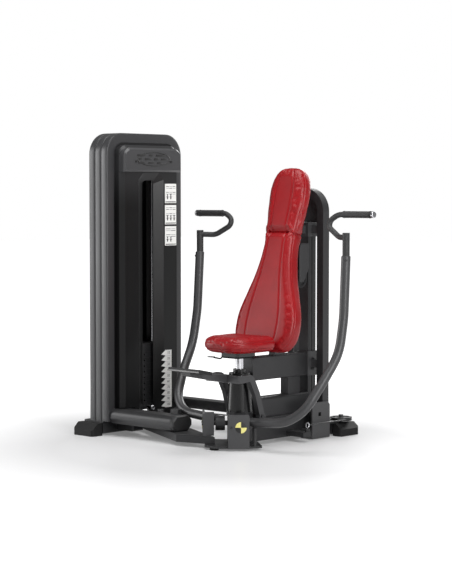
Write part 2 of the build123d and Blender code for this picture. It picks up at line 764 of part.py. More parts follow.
with BuildPart() as seat_lever:
    with BuildSketch(xz_plane(lever_x, lever_y + 10, lever_z)):
        Circle(7)
        Circle(lever_pin + running_gap, mode=Mode.SUBTRACT)
    extrude(amount=20)
    with BuildLine():
        wire = FilletPolyline((lever_x - 5, lever_y, lever_z - 3), (lever_x - 22, lever_y - 4, lever_z - 27),
                              (lever_x - 62, lever_y - 12, lever_z - 22), radius=14)
    with BuildSketch(Plane(origin=wire @ 0, z_dir=wire % 0)):
        Circle(4)
    sweep()
    with Locations(Location((lever_x - 76, lever_y - 15, lever_z - 20), (0, 0, 11))):
        Box(34, 20, 5)
save(seat_lever, "seat_lever")

with BuildPart() as seat_pad:
    with BuildSketch(Plane.XY.offset(seat_bottom)):
        with Locations((0, seat_y)):
            RectangleRounded(seat_width, seat_depth, 110)
    extrude(amount=seat_thick)
    fillet(seat_pad.edges().filter_by(GeomType.CIRCLE) + seat_pad.edges().filter_by(Axis.X)
           + seat_pad.edges().filter_by(Axis.Y), radius=22)
save(seat_pad, "seat_pad")

# the pads' mid plane, leaning back: x axis across the machine, y axis up the pad
lean = radians(pad_lean)
pad_plane = Plane(origin=(0, pad_ref_y, pad_ref_z), x_dir=(1, 0, 0), z_dir=(0, -cos(lean), sin(lean)))


def up_pad(z):
    """Distance up the pad's plane from its reference point, for a height above the floor."""
    return (z - pad_ref_z) / cos(lean)


def pad_solid(corners, bends, thick, soft):
    """Leaning pad with a given outline, its front and back edges rounded."""
    with BuildPart() as pad:
        with BuildSketch(pad_plane.offset(-thick / 2)):
            with BuildLine() as outline:
                FilletPolyline(*corners, radius=bends, close=True)
            make_face(outline.edges())
        extrude(amount=thick)
        faces = pad.faces().sort_by(Axis(pad_plane.origin, pad_plane.z_dir))
        fillet(faces[0].edges() + faces[-1].edges(), radius=soft)
    return pad


back_bottom, back_top, head_top = 452, 1030, 1358
right_side = [(138, up_pad(back_bottom)), (192, up_pad(592)), (84, up_pad(970)), (78, up_pad(back_top))]
back_corners = right_side + [(-x, y) for x, y in reversed(right_side)]
back_pad = pad_solid(back_corners, [50, 80, 100, 30, 30, 100, 80, 50], pad_thick, 22)
save(back_pad, "back_pad")

head_half = 110
head_low, head_high = up_pad(back_top + 8), up_pad(head_top)
head_corners = [(-head_half, head_low), (head_half, head_low), (head_half, head_high), (-head_half, head_high)]
head_pad = pad_solid(head_corners, [62, 62, 62, 62], pad_thick, 22)
save(head_pad, "head_pad")

with BuildPart() as spine_beam:
    with Locations((0, (80 + upright_front) / 2, (base_beam_top + spine_top) / 2)):
        Box(70, upright_front - 80, spine_top - base_beam_top)
    fillet(spine_beam.edges().filter_by(Axis.Y).group_by(Axis.Z)[-1], radius=14)
    fillet(spine_beam.edges().filter_by(Axis.X).group_by(Axis.Z)[-1].sort_by(Axis.Y)[0], radius=20)
    with Locations((0, 375, (spine_top + beam_bottom) / 2)):
        Box(50, 90, beam_bottom - spine_top)
save(spine_beam, "spine_beam")

with BuildPart() as seat_back_beam:
    beam_back = upright_front - sleeve_wall - 2
    with BuildSketch(xz_plane(0, beam_back, (beam_bottom + beam_top) / 2)):
        RectangleRounded(2 * beam_half, beam_top - beam_bottom, 7)
    extrude(amount=beam_back - beam_front)
    with BuildSketch(xz_plane(0, beam_front, (beam_bottom + beam_top) / 2)):
        RectangleRounded(2 * beam_half + 4, beam_top - beam_bottom + 4, 12)
    extrude(amount=10)
save(seat_back_beam, "seat_back_beam")

upright_mid = (upright_front + upright_back) / 2
with BuildPart() as uprights:
    leg = (upright_back - upright_front - upright_groove) / 2
    for y in (upright_front + leg / 2, upright_back - leg / 2):
        with Locations((0, y, (base_beam_top + upright_top) / 2)):
            Box(2 * upright_half, leg, upright_top - base_beam_top)
save(uprights, "uprights")

with BuildPart() as back_arch:
    with BuildSketch(xz_plane(0, arch2_front, 0)):
        arch_outline(arch2_half, arch2_top, block_top, arch2_half - 0.5)
        with BuildSketch(mode=Mode.SUBTRACT):
            arch_outline(arch2_half - arch2_band, arch2_top - arch2_band, block_top,
                         arch2_half - arch2_band - 0.5)
    extrude(amount=-47)
    with BuildSketch(xz_plane(0, arch2_front + 30, 0)):
        arch_outline(arch2_half - arch2_band + 1, arch2_top - arch2_band + 1, upright_top + 0.5,
                     arch2_half - arch2_band)
    extrude(amount=-web_wall)
save(back_arch, "back_arch")

with BuildPart() as upright_sleeves:
    for low, high in ((beam_bottom - 3, beam_top + 4), (upright_top - 71, upright_top)):
        with Locations((0, upright_mid, (low + high) / 2)):
            Box(2 * (upright_half + sleeve_wall), upright_back - upright_front + 2 * sleeve_wall + 4,
                high - low)
            Box(2 * upright_half, upright_back - upright_front, high - low, mode=Mode.SUBTRACT)
        tie = arch2_half - arch2_band - upright_half - sleeve_wall
        for side in (-1, 1):
            with Locations((side * (upright_half + sleeve_wall + tie / 2), upright_mid + 6,
                            (low + high) / 2)):
                Box(tie, 34, 40)
save(upright_sleeves, "upright_sleeves")

with BuildPart() as pad_mounts:
    for z, half in ((beam_top + 95, 40), (upright_top - 36, 30)):
        back_y = pad_ref_y + (z - pad_ref_z) * sin(lean) / cos(lean) + pad_thick / 2 / cos(lean)
        with BuildSketch(pad_plane.offset(-pad_thick / 2)):
            with Locations((0, up_pad(z))):
                Rectangle(2 * half, 2 * half)
        extrude(amount=-6)
    low_back = pad_ref_y + (beam_top + 95 - pad_ref_z) * sin(lean) / cos(lean) + pad_thick / 2 / cos(lean)
    with BuildSketch(Plane.YZ.offset(-20)):
        with BuildLine():
            Polyline((low_back - 6, beam_top), (low_back + 70, beam_top), (low_back + 70, beam_top + 40),
                     (low_back + 30, beam_top + 120), (low_back + 12, beam_top + 120),
                     (low_back - 6, beam_top))
        make_face()
    extrude(amount=40)
    high_z = upright_top - 36
    high_back = pad_ref_y + (high_z - pad_ref_z) * sin(lean) / cos(lean) + pad_thick / 2 / cos(lean)
    sleeve_face = upright_front - sleeve_wall - 2
    with Locations((0, (high_back + 4 + sleeve_face) / 2, high_z)):
        Box(40, sleeve_face - high_back - 4, 40)
    with BuildSketch(pad_plane.offset(-pad_thick / 2)):
        with Locations((0, up_pad(beam_top + 95))):
            Rectangle(600, 2000)
    extrude(amount=pad_thick, mode=Mode.SUBTRACT)
save(pad_mounts, "pad_mounts")

# ---- press arms ---------------------------------------------------------------------------------------
insert_top = 1045
curl_corners = [(484, 223, 1024), (410, 262, 1022), (300, 290, 1085), (372, 300, 1131), (577, 306, 1131)]
curl_bends = [70, 32, 80]
grip_start, grip_end = 402, 566


def tube(points, bends, radius):
    """Round bar along straight runs joined by arcs."""
    with BuildPart() as shape:
        with BuildLine():
            path = FilletPolyline(*points, radius=bends)
        with BuildSketch(Plane(origin=path @ 0, z_dir=path % 0)):
            Circle(radius)
        sweep()
    return shape.part


for name, side in axle_names.items():
    def out(point):
        return (side * point[0], point[1], point[2])

    with BuildPart() as arm_tube:
        add(tube([out(p) for p in arm_corners], arm_bends, arm_radius))
        with BuildSketch(axle_plane(side, hub_near)):
            with Locations((0, axle_z)):
                Circle(hub_radius)
        extrude(amount=hub_far - hub_near)
        with BuildSketch(axle_plane(side, hub_near)):
            with Locations((0, axle_z)):
                Circle(hub_bore)
        extrude(amount=hub_far - hub_near + 2 * hub_bore, mode=Mode.SUBTRACT)
        with BuildSketch(axle_plane(side, hub_near - 60)):
            with Locations((0, axle_z)):
                Circle(hub_radius + 30)
        extrude(amount=60, mode=Mode.SUBTRACT)
        with Locations((side * arm_corners[-1][0], arm_corners[-1][1], arm_top + 50)):
            Box(100, 100, 100, mode=Mode.SUBTRACT)
    save(arm_tube, f"{name}_arm_tube")

    with BuildPart() as bushing:
        with BuildSketch(axle_plane(side, hub_near)):
            with Locations((0, axle_z)):
                Circle(hub_bore)
                Circle(axle_radius + running_gap, mode=Mode.SUBTRACT)
        extrude(amount=hub_far - hub_near)
    save(bushing, f"{name}_bushing")

    with BuildPart() as handle:
        top = arm_corners[-1]
        with Locations((side * top[0], top[1], (arm_top + insert_top) / 2)):
            Cylinder(insert_radius, insert_top - arm_top)
        add(tube([out(p) for p in curl_corners], curl_bends, curl_radius))
    save(handle, f"{name}_handle")

    with BuildPart() as grip:
        end, turn = Vector(*out(curl_corners[-1])), Vector(*out(curl_corners[-2]))
        along = (end - turn).normalized()
        start = turn + along * ((grip_start - curl_corners[-2][0]))
        with BuildSketch(Plane(origin=start, z_dir=along)):
            Circle(grip_radius)
            Circle(curl_radius, mode=Mode.SUBTRACT)
        extrude(amount=grip_end - grip_start)
    save(grip, f"{name}_grip")

    with BuildPart() as end_cap:
        with BuildSketch(Plane(origin=end, z_dir=along)):
            Circle(grip_radius + 1)
        extrude(amount=12)
        fillet(end_cap.faces().sort_by(Axis.X)[-1 if side > 0 else 0].edges(), radius=4)
    save(end_cap, f"{name}_end_cap")

# ---- foot pedal ---------------------------------------------------------------------------------------
bridge_y = -104
bridge_z = 339
fork_route = [(bridge_y, bridge_z), (-34, bridge_z + 6), (8, 265), (pedal_y, pedal_z)]
tread_y = -346
tread_z = 381
with BuildPart() as pedal_arm:
    for side in (-1, 1):
        x = side * (fork_inner + fork_wall / 2) - fork_wall / 2
        with BuildSketch(Plane.YZ.offset(x)):
            with BuildLine() as leg_line:
                FilletPolyline(*fork_route, radius=26)
            trace(leg_line.line, line_width=34)
            with Locations((pedal_y, pedal_z)):
                Circle(21)
        extrude(amount=fork_wall)
    with BuildSketch(yz_plane(-fork_inner - fork_wall, pedal_y, pedal_z)):
        Circle(pedal_pin_radius + running_gap)
    extrude(amount=2 * (fork_inner + fork_wall), mode=Mode.SUBTRACT)
    with Locations((0, bridge_y, bridge_z)):
        Box(2 * (fork_inner + fork_wall), 36, 34)
    with BuildSketch(Plane.YZ.offset(-29)):
        with BuildLine():
            Polyline((bridge_y, bridge_z - 20), (bridge_y, bridge_z + 22), (tread_y + 10, tread_z),
                     (tread_y - 30, tread_z + 8), (tread_y - 20, tread_z - 12), (bridge_y, bridge_z - 20))
        make_face()
    extrude(amount=58)
save(pedal_arm, "pedal_arm")

tread_tilt = -11.5
with BuildPart() as pedal_tread:
    with BuildSketch(Plane(origin=(0, tread_y, tread_z + 3), x_dir=(1, 0, 0),
                           z_dir=(0, sin(radians(-tread_tilt)), cos(radians(tread_tilt))))):
        Rectangle(tread_width, tread_depth)
        fillet(vertices(), radius=8)
    extrude(amount=16)
    with BuildSketch(Plane.YZ.offset(-29)):
        with BuildLine():
            Polyline((bridge_y, bridge_z - 20), (bridge_y, bridge_z + 22), (tread_y + 10, tread_z),
                     (tread_y - 30, tread_z + 8), (tread_y - 20, tread_z - 12), (bridge_y, bridge_z - 20))
        make_face()
    extrude(amount=58, mode=Mode.SUBTRACT)
save(pedal_tread, "pedal_tread")
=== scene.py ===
import math
import bpy
from mathutils import Matrix, Vector


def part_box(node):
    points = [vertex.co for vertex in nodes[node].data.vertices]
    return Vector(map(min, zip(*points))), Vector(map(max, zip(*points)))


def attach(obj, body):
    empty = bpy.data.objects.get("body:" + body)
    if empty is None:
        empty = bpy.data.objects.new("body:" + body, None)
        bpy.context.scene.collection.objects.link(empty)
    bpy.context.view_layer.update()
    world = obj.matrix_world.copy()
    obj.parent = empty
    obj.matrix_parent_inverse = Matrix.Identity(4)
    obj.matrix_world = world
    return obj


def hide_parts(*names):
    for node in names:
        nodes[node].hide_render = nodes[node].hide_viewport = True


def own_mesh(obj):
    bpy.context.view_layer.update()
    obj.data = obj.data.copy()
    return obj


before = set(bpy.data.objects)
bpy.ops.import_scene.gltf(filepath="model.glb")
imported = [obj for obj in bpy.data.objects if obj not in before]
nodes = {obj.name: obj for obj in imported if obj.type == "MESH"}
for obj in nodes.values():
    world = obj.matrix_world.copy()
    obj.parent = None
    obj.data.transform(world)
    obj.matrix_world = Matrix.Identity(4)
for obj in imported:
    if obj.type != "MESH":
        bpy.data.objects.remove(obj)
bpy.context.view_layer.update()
scene = bpy.context.scene
print("stage: frame loaded")


# selecting, applying and the basic solids

def clearSelection():
    if bpy.context.object and bpy.context.object.mode != "OBJECT":
        bpy.ops.object.mode_set(mode="OBJECT")
    bpy.ops.object.select_all(action="DESELECT")


def activate(obj):
    clearSelection()
    bpy.context.view_layer.objects.active = obj
    obj.select_set(True)


def edit(obj, kind="FACE"):
    activate(obj)
    bpy.ops.object.mode_set(mode="EDIT")
    bpy.ops.mesh.select_mode(type=kind)
    bpy.ops.mesh.select_all(action="DESELECT")


def pickFaces(obj, test):
    """In edit mode, selects the faces that pass the test."""
    bpy.ops.object.mode_set(mode="OBJECT")
    for face in obj.data.polygons:
        face.select = test(face)
    bpy.ops.object.mode_set(mode="EDIT")


def place(obj):
    activate(obj)
    bpy.ops.object.transform_apply(location=True, rotation=True, scale=True)
    return obj


def applyAll(obj):
    activate(obj)
    for modifier in list(obj.modifiers):
        bpy.ops.object.modifier_apply(modifier=modifier.name)
    return obj


def bevelled(obj, width, segments=2, angle=40):
    modifier = obj.modifiers.new("round", "BEVEL")
    modifier.width = width
    modifier.segments = segments
    modifier.limit_method = "ANGLE"
    modifier.angle_limit = math.radians(angle)
    return applyAll(obj)


def smooth(obj, angle=35):
    activate(obj)
    bpy.ops.object.shade_smooth_by_angle(angle=math.radians(angle))
    return obj


def outward(obj):
    edit(obj)
    bpy.ops.mesh.select_all(action="SELECT")
    bpy.ops.mesh.remove_doubles(threshold=0.00002)
    bpy.ops.mesh.normals_make_consistent(inside=False)
    bpy.ops.object.mode_set(mode="OBJECT")
    return obj


def give(obj, name, body, material):
    obj.name = name
    obj.data.name = name
    obj.data.materials.clear()
    obj.data.materials.append(material)
    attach(obj, body)
    return obj


def block(low, high, bevel=0.002, segments=2):
    clearSelection()
    middle = [(a + b) / 2 for a, b in zip(low, high)]
    bpy.ops.mesh.primitive_cube_add(size=1, location=middle)
    obj = bpy.context.object
    obj.scale = [b - a for a, b in zip(low, high)]
    place(obj)
    return bevelled(obj, bevel, segments) if bevel else obj


def rod(start, end, radius, sides=32, bevel=0.0):
    clearSelection()
    start, end = Vector(start), Vector(end)
    run = end - start
    bpy.ops.mesh.primitive_cylinder_add(vertices=sides, radius=radius, depth=run.length,
                                        location=(start + end) / 2)
    obj = bpy.context.object
    obj.rotation_euler = run.to_track_quat("Z", "Y").to_euler()
    place(obj)
    return bevelled(obj, bevel, 2, 50) if bevel else obj


def join(objects):
    clearSelection()
    for obj in objects:
        obj.select_set(True)
    bpy.context.view_layer.objects.active = objects[0]
    if len(objects) > 1:
        bpy.ops.object.join()
    return bpy.context.object


def sweep(points, steps):
    """A filled loop of points, carried along steps that each move it or turn it.

    A move is ("move", by) and a turn is ("turn", centre, axis, angle, number of steps).
    """
    clearSelection()
    bpy.ops.mesh.primitive_circle_add(vertices=len(points), radius=1, fill_type="NOTHING")
    obj = bpy.context.object
    for vertex, point in zip(obj.data.vertices, points):
        vertex.co = point
    edit(obj, "EDGE")
    bpy.ops.mesh.select_all(action="SELECT")
    bpy.ops.mesh.edge_face_add()
    bpy.ops.mesh.select_mode(type="FACE")
    bpy.ops.mesh.select_all(action="SELECT")
    for step in steps:
        if step[0] == "move":
            bpy.ops.mesh.extrude_region_move(TRANSFORM_OT_translate={"value": step[1]})
        else:
            bpy.ops.mesh.spin(steps=step[4], angle=step[3], center=step[1], axis=step[2])
    bpy.ops.object.mode_set(mode="OBJECT")
    return outward(obj)


def bolt(at, out, radius, height, sides=6, dimple=0.45):
    """Bolt head with a rounded crown and a socket, on a washer."""
    clearSelection()
    out = Vector(out).normalized()
    turn = out.to_track_quat("Z", "Y").to_euler()
    bpy.ops.mesh.primitive_cylinder_add(vertices=28, radius=radius * 1.32, depth=height * 0.3)
    washer = bpy.context.object
    washer.location = Vector(at) + out * height * 0.15
    washer.rotation_euler = turn
    place(washer)
    bevelled(washer, height * 0.08, 2, 50)
    bpy.ops.object.select_all(action="DESELECT")
    bpy.ops.mesh.primitive_cylinder_add(vertices=sides, radius=radius, depth=height)
    head = bpy.context.object
    edit(head)
    pickFaces(head, lambda f: f.normal.z > 0.9)
    bpy.ops.mesh.inset(thickness=radius * (1 - dimple))
    bpy.ops.mesh.extrude_region_move(TRANSFORM_OT_translate={"value": (0, 0, -height * 0.45)})
    bpy.ops.object.mode_set(mode="OBJECT")
    bevelled(head, height * 0.09, 2, 40)
    head.location = Vector(at) + out * height * 0.62
    head.rotation_euler = turn
    place(head)
    return smooth(join([washer, head]))


# shared surface effects

def startGroup(name, inputs, outputs):
    group = bpy.data.node_groups.new(name, "ShaderNodeTree")
    for label, value in inputs:
        socket = group.interface.new_socket(name=label, in_out="INPUT", socket_type="NodeSocketFloat")
        socket.default_value = value
    for label, kind in outputs:
        group.interface.new_socket(name=label, in_out="OUTPUT", socket_type=kind)
    return group, group.nodes.new("NodeGroupInput"), group.nodes.new("NodeGroupOutput")


def buildCoatGroup():
    """Powder coat: a fine orange peel, slow clouding of the gloss and sparse scuffs."""
    group, source, result = startGroup(
        "coatFinish", [("Grain", 900.0), ("Cloud", 6.0), ("Gloss", 0.45), ("Vary", 0.08)],
        [("Height", "NodeSocketFloat"), ("Roughness", "NodeSocketFloat"), ("Scuff", "NodeSocketFloat")])
    make, link = group.nodes.new, group.links.new
    coords = make("ShaderNodeTexCoord")
    grain = make("ShaderNodeTexNoise")
    grain.inputs["Detail"].default_value = 2
    cloud = make("ShaderNodeTexNoise")
    cloud.inputs["Detail"].default_value = 4
    link(coords.outputs["Object"], grain.inputs["Vector"])
    link(coords.outputs["Object"], cloud.inputs["Vector"])
    link(source.outputs["Grain"], grain.inputs["Scale"])
    link(source.outputs["Cloud"], cloud.inputs["Scale"])
    centred = make("ShaderNodeMath")
    centred.operation = "SUBTRACT"
    centred.inputs[1].default_value = 0.5
    link(cloud.outputs["Fac"], centred.inputs[0])
    amount = make("ShaderNodeMath")
    amount.operation = "MULTIPLY_ADD"
    link(centred.outputs[0], amount.inputs[0])
    link(source.outputs["Vary"], amount.inputs[1])
    link(source.outputs["Gloss"], amount.inputs[2])
    streak = make("ShaderNodeTexNoise")
    streak.inputs["Scale"].default_value = 38
    streak.inputs["Detail"].default_value = 8
    streak.inputs["Roughness"].default_value = 0.7
    link(coords.outputs["Object"], streak.inputs["Vector"])
    ramp = make("ShaderNodeValToRGB")
    ramp.color_ramp.elements[0].position = 0.66
    ramp.color_ramp.elements[1].position = 0.74
    link(streak.outputs["Fac"], ramp.inputs["Fac"])
    link(grain.outputs["Fac"], result.inputs["Height"])
    link(amount.outputs[0], result.inputs["Roughness"])
    link(ramp.outputs["Color"], result.inputs["Scuff"])
    return group


def buildDustGroup():
    """Dust that settles in patches on what faces up."""
    group, source, result = startGroup("dustFilm", [("Amount", 0.3)], [("Mask", "NodeSocketFloat")])
    make, link = group.nodes.new, group.links.new
    geometry = make("ShaderNodeNewGeometry")
    normal = make("ShaderNodeSeparateXYZ")
    link(geometry.outputs["Normal"], normal.inputs[0])
    facing = make("ShaderNodeMapRange")
    facing.inputs["From Min"].default_value = 0.6
    facing.inputs["From Max"].default_value = 1.0
    link(normal.outputs["Z"], facing.inputs["Value"])
    coords = make("ShaderNodeTexCoord")
    patches = make("ShaderNodeTexNoise")
    patches.inputs["Scale"].default_value = 14
    patches.inputs["Detail"].default_value = 6
    link(coords.outputs["Object"], patches.inputs["Vector"])
    both = make("ShaderNodeMath")
    both.operation = "MULTIPLY"
    link(facing.outputs[0], both.inputs[0])
    link(patches.outputs["Fac"], both.inputs[1])
    scaled = make("ShaderNodeMath")
    scaled.operation = "MULTIPLY"
    link(both.outputs[0], scaled.inputs[0])
    link(source.outputs["Amount"], scaled.inputs[1])
    link(scaled.outputs[0], result.inputs["Mask"])
    return group


def buildHideGroup():
    """Vinyl hide: pebbles between fine creases."""
    group, source, result = startGroup(
        "hideGrain", [("Scale", 420.0), ("Crease", 90.0)],
        [("Height", "NodeSocketFloat"), ("Tone", "NodeSocketFloat")])
    make, link = group.nodes.new, group.links.new
    coords = make("ShaderNodeTexCoord")
    pebbles = make("ShaderNodeTexVoronoi")
    pebbles.feature = "SMOOTH_F1"
    creases = make("ShaderNodeTexNoise")
    creases.inputs["Detail"].default_value = 6
    tone = make("ShaderNodeTexNoise")
    tone.inputs["Scale"].default_value = 9
    tone.inputs["Detail"].default_value = 3
    for texture in (pebbles, creases, tone):
        link(coords.outputs["Object"], texture.inputs["Vector"])
    link(source.outputs["Scale"], pebbles.inputs["Scale"])
    link(source.outputs["Crease"], creases.inputs["Scale"])
    total = make("ShaderNodeMath")
    total.operation = "ADD"
    link(pebbles.outputs["Distance"], total.inputs[0])
    link(creases.outputs["Fac"], total.inputs[1])
    link(total.outputs[0], result.inputs["Height"])
    link(tone.outputs["Fac"], result.inputs["Tone"])
    return group


coatGroup = buildCoatGroup()
dustGroup = buildDustGroup()
hideGroup = buildHideGroup()


def newMaterial(name):
    material = bpy.data.materials.new(name)
    material.use_nodes = True
    return material, material.node_tree.nodes["Principled BSDF"], material.node_tree


def mixColour(tree, factor, first, second):
    mix = tree.nodes.new("ShaderNodeMix")
    mix.data_type = "RGBA"
    tree.links.new(factor, mix.inputs["Factor"])
    for index, colour in ((6, first), (7, second)):
        if isinstance(colour, tuple):
            mix.inputs[index].default_value = (*colour, 1)
        else:
            tree.links.new(colour, mix.inputs[index])
    return mix.outputs[2]


def bumpFrom(tree, shader, height, strength, distance):
    bump = tree.nodes.new("ShaderNodeBump")
    bump.inputs["Strength"].default_value = strength
    bump.inputs["Distance"].default_value = distance
    tree.links.new(height, bump.inputs["Height"])
    tree.links.new(bump.outputs["Normal"], shader.inputs["Normal"])


def coated(name, colour, gloss=0.45, metallic=0.0, grain=900, depth=0.0002, strength=0.35, vary=0.1,
           scuff=0.25, dust=0.3, coat=0.0, shine=0.5):
    """Painted, moulded or plated surface built from the shared coat and dust effects."""
    material, shader, tree = newMaterial(name)
    finish = tree.nodes.new("ShaderNodeGroup")
    finish.node_tree = coatGroup
    finish.inputs["Grain"].default_value = grain
    finish.inputs["Gloss"].default_value = gloss
    finish.inputs["Vary"].default_value = vary
    film = tree.nodes.new("ShaderNodeGroup")
    film.node_tree = dustGroup
    film.inputs["Amount"].default_value = dust
    lighter = tuple(min(1.0, c * 1.35 + 0.012) for c in colour)
    amount = tree.nodes.new("ShaderNodeMath")
    amount.operation = "MULTIPLY"
    amount.inputs[1].default_value = scuff
    tree.links.new(finish.outputs["Scuff"], amount.inputs[0])
    worn = mixColour(tree, amount.outputs[0], colour, lighter)
    dusty = mixColour(tree, film.outputs["Mask"], worn, (0.35, 0.345, 0.335))
    tree.links.new(dusty, shader.inputs["Base Color"])
    tree.links.new(finish.outputs["Roughness"], shader.inputs["Roughness"])
    shader.inputs["Metallic"].default_value = metallic
    shader.inputs["Specular IOR Level"].default_value = shine
    shader.inputs["Coat Weight"].default_value = coat
    shader.inputs["Coat Roughness"].default_value = 0.18
    bumpFrom(tree, shader, finish.outputs["Height"], strength, depth)
    return material


def hide(name, colour, shade):
    material, shader, tree = newMaterial(name)
    grain = tree.nodes.new("ShaderNodeGroup")
    grain.node_tree = hideGroup
    tree.links.new(mixColour(tree, grain.outputs["Tone"], shade, colour), shader.inputs["Base Color"])
    shader.inputs["Roughness"].default_value = 0.41
    shader.inputs["Coat Weight"].default_value = 0.06
    shader.inputs["Coat Roughness"].default_value = 0.24
    shader.inputs["Specular IOR Level"].default_value = 0.32
    bumpFrom(tree, shader, grain.outputs["Height"], 0.28, 0.0004)
    return material


look = {
    "frame": coated("framePaint", (0.022, 0.022, 0.0235), gloss=0.42, metallic=0.25, dust=0.05),
    "arch": coated("archPaint", (0.034, 0.034, 0.036), gloss=0.40, metallic=0.25, dust=0.03),
    "bracket": coated("bracketPaint", (0.050, 0.050, 0.052), gloss=0.42, metallic=0.25, dust=0.05),
    "arm": coated("armPaint", (0.045, 0.045, 0.047), gloss=0.40, metallic=0.3, dust=0.04),
    "shroud": coated("shroudGloss", (0.005, 0.005, 0.0052), gloss=0.36, grain=600, vary=0.06,
                     scuff=0.1, dust=0.02, coat=0.04, shine=0.2),
    "cap": coated("capPlastic", (0.040, 0.040, 0.042), gloss=0.34, grain=700, scuff=0.1, dust=0.02,
                  shine=0.4),
    "endCap": coated("endCapPlastic", (0.014, 0.014, 0.015), gloss=0.5, grain=1200, dust=0.05),
    "column": coated("columnBlack", (0.005, 0.005, 0.0052), gloss=0.24, coat=0.15, dust=0.02, shine=0.4),
    "rubber": coated("bootRubber", (0.007, 0.007, 0.0073), gloss=0.62, grain=500, depth=0.0005,
                     strength=0.5, scuff=0.3, dust=0.05, shine=0.25),
    "tread": coated("treadRubber", (0.010, 0.010, 0.0105), gloss=0.55, grain=700, dust=0.02, shine=0.3),
    "grip": coated("gripRubber", (0.010, 0.010, 0.0105), gloss=0.55, grain=1300, depth=0.0006,
                   strength=0.7, dust=0.0),
    "nylon": coated("pulleyNylon", (0.013, 0.013, 0.014), gloss=0.42, dust=0.03),
    "plate": coated("plateBlack", (0.012, 0.012, 0.013), gloss=0.5, metallic=0.2, dust=0.1),
    "cable": coated("cableJacket", (0.012, 0.012, 0.013), gloss=0.3, grain=400, coat=0.3, dust=0.0),
    "chrome": coated("chromePlate", (0.50, 0.50, 0.52), gloss=0.14, metallic=1.0, grain=300,
                     depth=0.00005, strength=0.1, vary=0.06, scuff=0.0, dust=0.0),
    "bronze": coated("bronzeBush", (0.42, 0.27, 0.13), gloss=0.35, metallic=1.0, dust=0.05),
    "black": coated("printBlack", (0.008, 0.008, 0.008), gloss=0.5, dust=0.0),
    "white": coated("labelWhite", (0.72, 0.72, 0.70), gloss=0.42, grain=1500, strength=0.1, scuff=0.1,
                    dust=0.0),
    "greyPrint": coated("printGrey", (0.30, 0.30, 0.31), gloss=0.45, strength=0.05, dust=0.0),
    "yellow": coated("markerYellow", (0.72, 0.66, 0.22), gloss=0.38, dust=0.0),
    "serrated": coated("serratedEdge", (0.20, 0.20, 0.20), gloss=0.4, metallic=0.5, dust=0.0),
    "red": hide("redVinyl", (0.27, 0.0006, 0.0032), (0.17, 0.0004, 0.0024)),
}


def paintedHighlightUp(material, low, high, colour):
    """Painted highlight: the cover's colour turns greyer towards its top, where light falls on the moulding
    near the cap.
    """
    tree = material.node_tree
    shader = tree.nodes["Principled BSDF"]
    base = shader.inputs["Base Color"].links[0].from_socket
    coords = tree.nodes.new("ShaderNodeTexCoord")
    split = tree.nodes.new("ShaderNodeSeparateXYZ")
    fade = tree.nodes.new("ShaderNodeMapRange")
    fade.interpolation_type = "SMOOTHSTEP"
    fade.inputs["From Min"].default_value = low
    fade.inputs["From Max"].default_value = high
    tree.links.new(coords.outputs["Object"], split.inputs[0])
    tree.links.new(split.outputs["Z"], fade.inputs["Value"])
    tree.links.new(mixColour(tree, fade.outputs[0], base, colour), shader.inputs["Base Color"])


# painted highlight: the shroud's colour is lightened from low to high up its face, standing in for light
# falling near the cap
shroudPaintedHighlight = {"low": 1.14, "high": 1.40, "colour": (0.022, 0.022, 0.023)}
paintedHighlightUp(look["shroud"], shroudPaintedHighlight["low"], shroudPaintedHighlight["high"], shroudPaintedHighlight["colour"])
print("stage: materials")

nodeLooks = {
    "arch": ["tower_arch"],
    "frame": ["tower_base_beam", "oblique_beam", "cross_tube", "rear_cross_beam", "base_beam", "base_plate",
              "spine_beam", "seat_back_beam", "uprights", "back_arch", "tower_top_beam", "pivot_housing"],
    "bracket": ["side_plates", "pivot_brackets", "upright_sleeves", "pad_mounts", "pulley_brackets"],
    "arm": ["left_arm_tube", "right_arm_tube", "pedal_arm"],
    "shroud": ["tower_front_shroud", "tower_rear_cover"],
    "cap": ["tower_cap"],
    "endCap": ["cross_tube_cap", "arm_stops", "stack_bumpers"],
    "column": ["seat_column", "seat_carriage", "seat_lever"],
    "rubber": ["rubber_boots", "levelling_feet"],
    "tread": ["pedal_tread"],
    "grip": ["left_grip", "right_grip", "left_handle", "right_handle"],
    "nylon": ["top_pulley_inner", "top_pulley_outer", "low_pulley", "back_pulley", "rear_pulley"],
    "plate": ["weight_plates", "top_plate"],
    "chrome": ["guide_rods", "selector_stem", "selector_pin", "seat_post", "left_end_cap", "right_end_cap"],
    "cable": ["stack_cable", "tower_cable", "station_cables"],
    "white": ["tower_labels"],
    "yellow": ["pivot_markers"],
    "bronze": ["left_bushing", "right_bushing"],
    "red": ["seat_pad", "back_pad", "head_pad"],
}
for finish, names in nodeLooks.items():
    for name in names:
        nodes[name].data.materials.clear()
        nodes[name].data.materials.append(look[finish])
        for face in nodes[name].data.polygons:
            face.material_index = 0
print("stage: frame finishes")

# the three pads: a cut block, blown up as foam under a sewn cover, then seamed

padLean = math.radians(14.3)
padUp = Vector((0, math.sin(padLean), math.cos(padLean)))
padOut = Vector((0, -math.cos(padLean), math.sin(padLean)))
padFoot = Vector((0, 0.207, 0.590))
coverFrames = 20
coverPressure = 4


def onLean(side, up, out):
    """Point on the leaning back: side along X, up from the reference height, out towards the user."""
    return padFoot + Vector((side, 0, 0)) + padUp * up + padOut * out


def roundOutline(corners, steps=4):
    """Closed smooth outline through corner points, each span cut into steps."""
    count = len(corners)
    points = []
    for i in range(count):
        p0, p1, p2, p3 = [Vector(corners[(i + k - 1) % count]) for k in range(4)]
        for step in range(steps):
            t = step / steps
            points.append(0.5 * ((2 * p1) + (p2 - p0) * t + (2 * p0 - 5 * p1 + 4 * p2 - p3) * t * t
                                 + (3 * p1 - p0 - 3 * p2 + p3) * t ** 3))
    return points


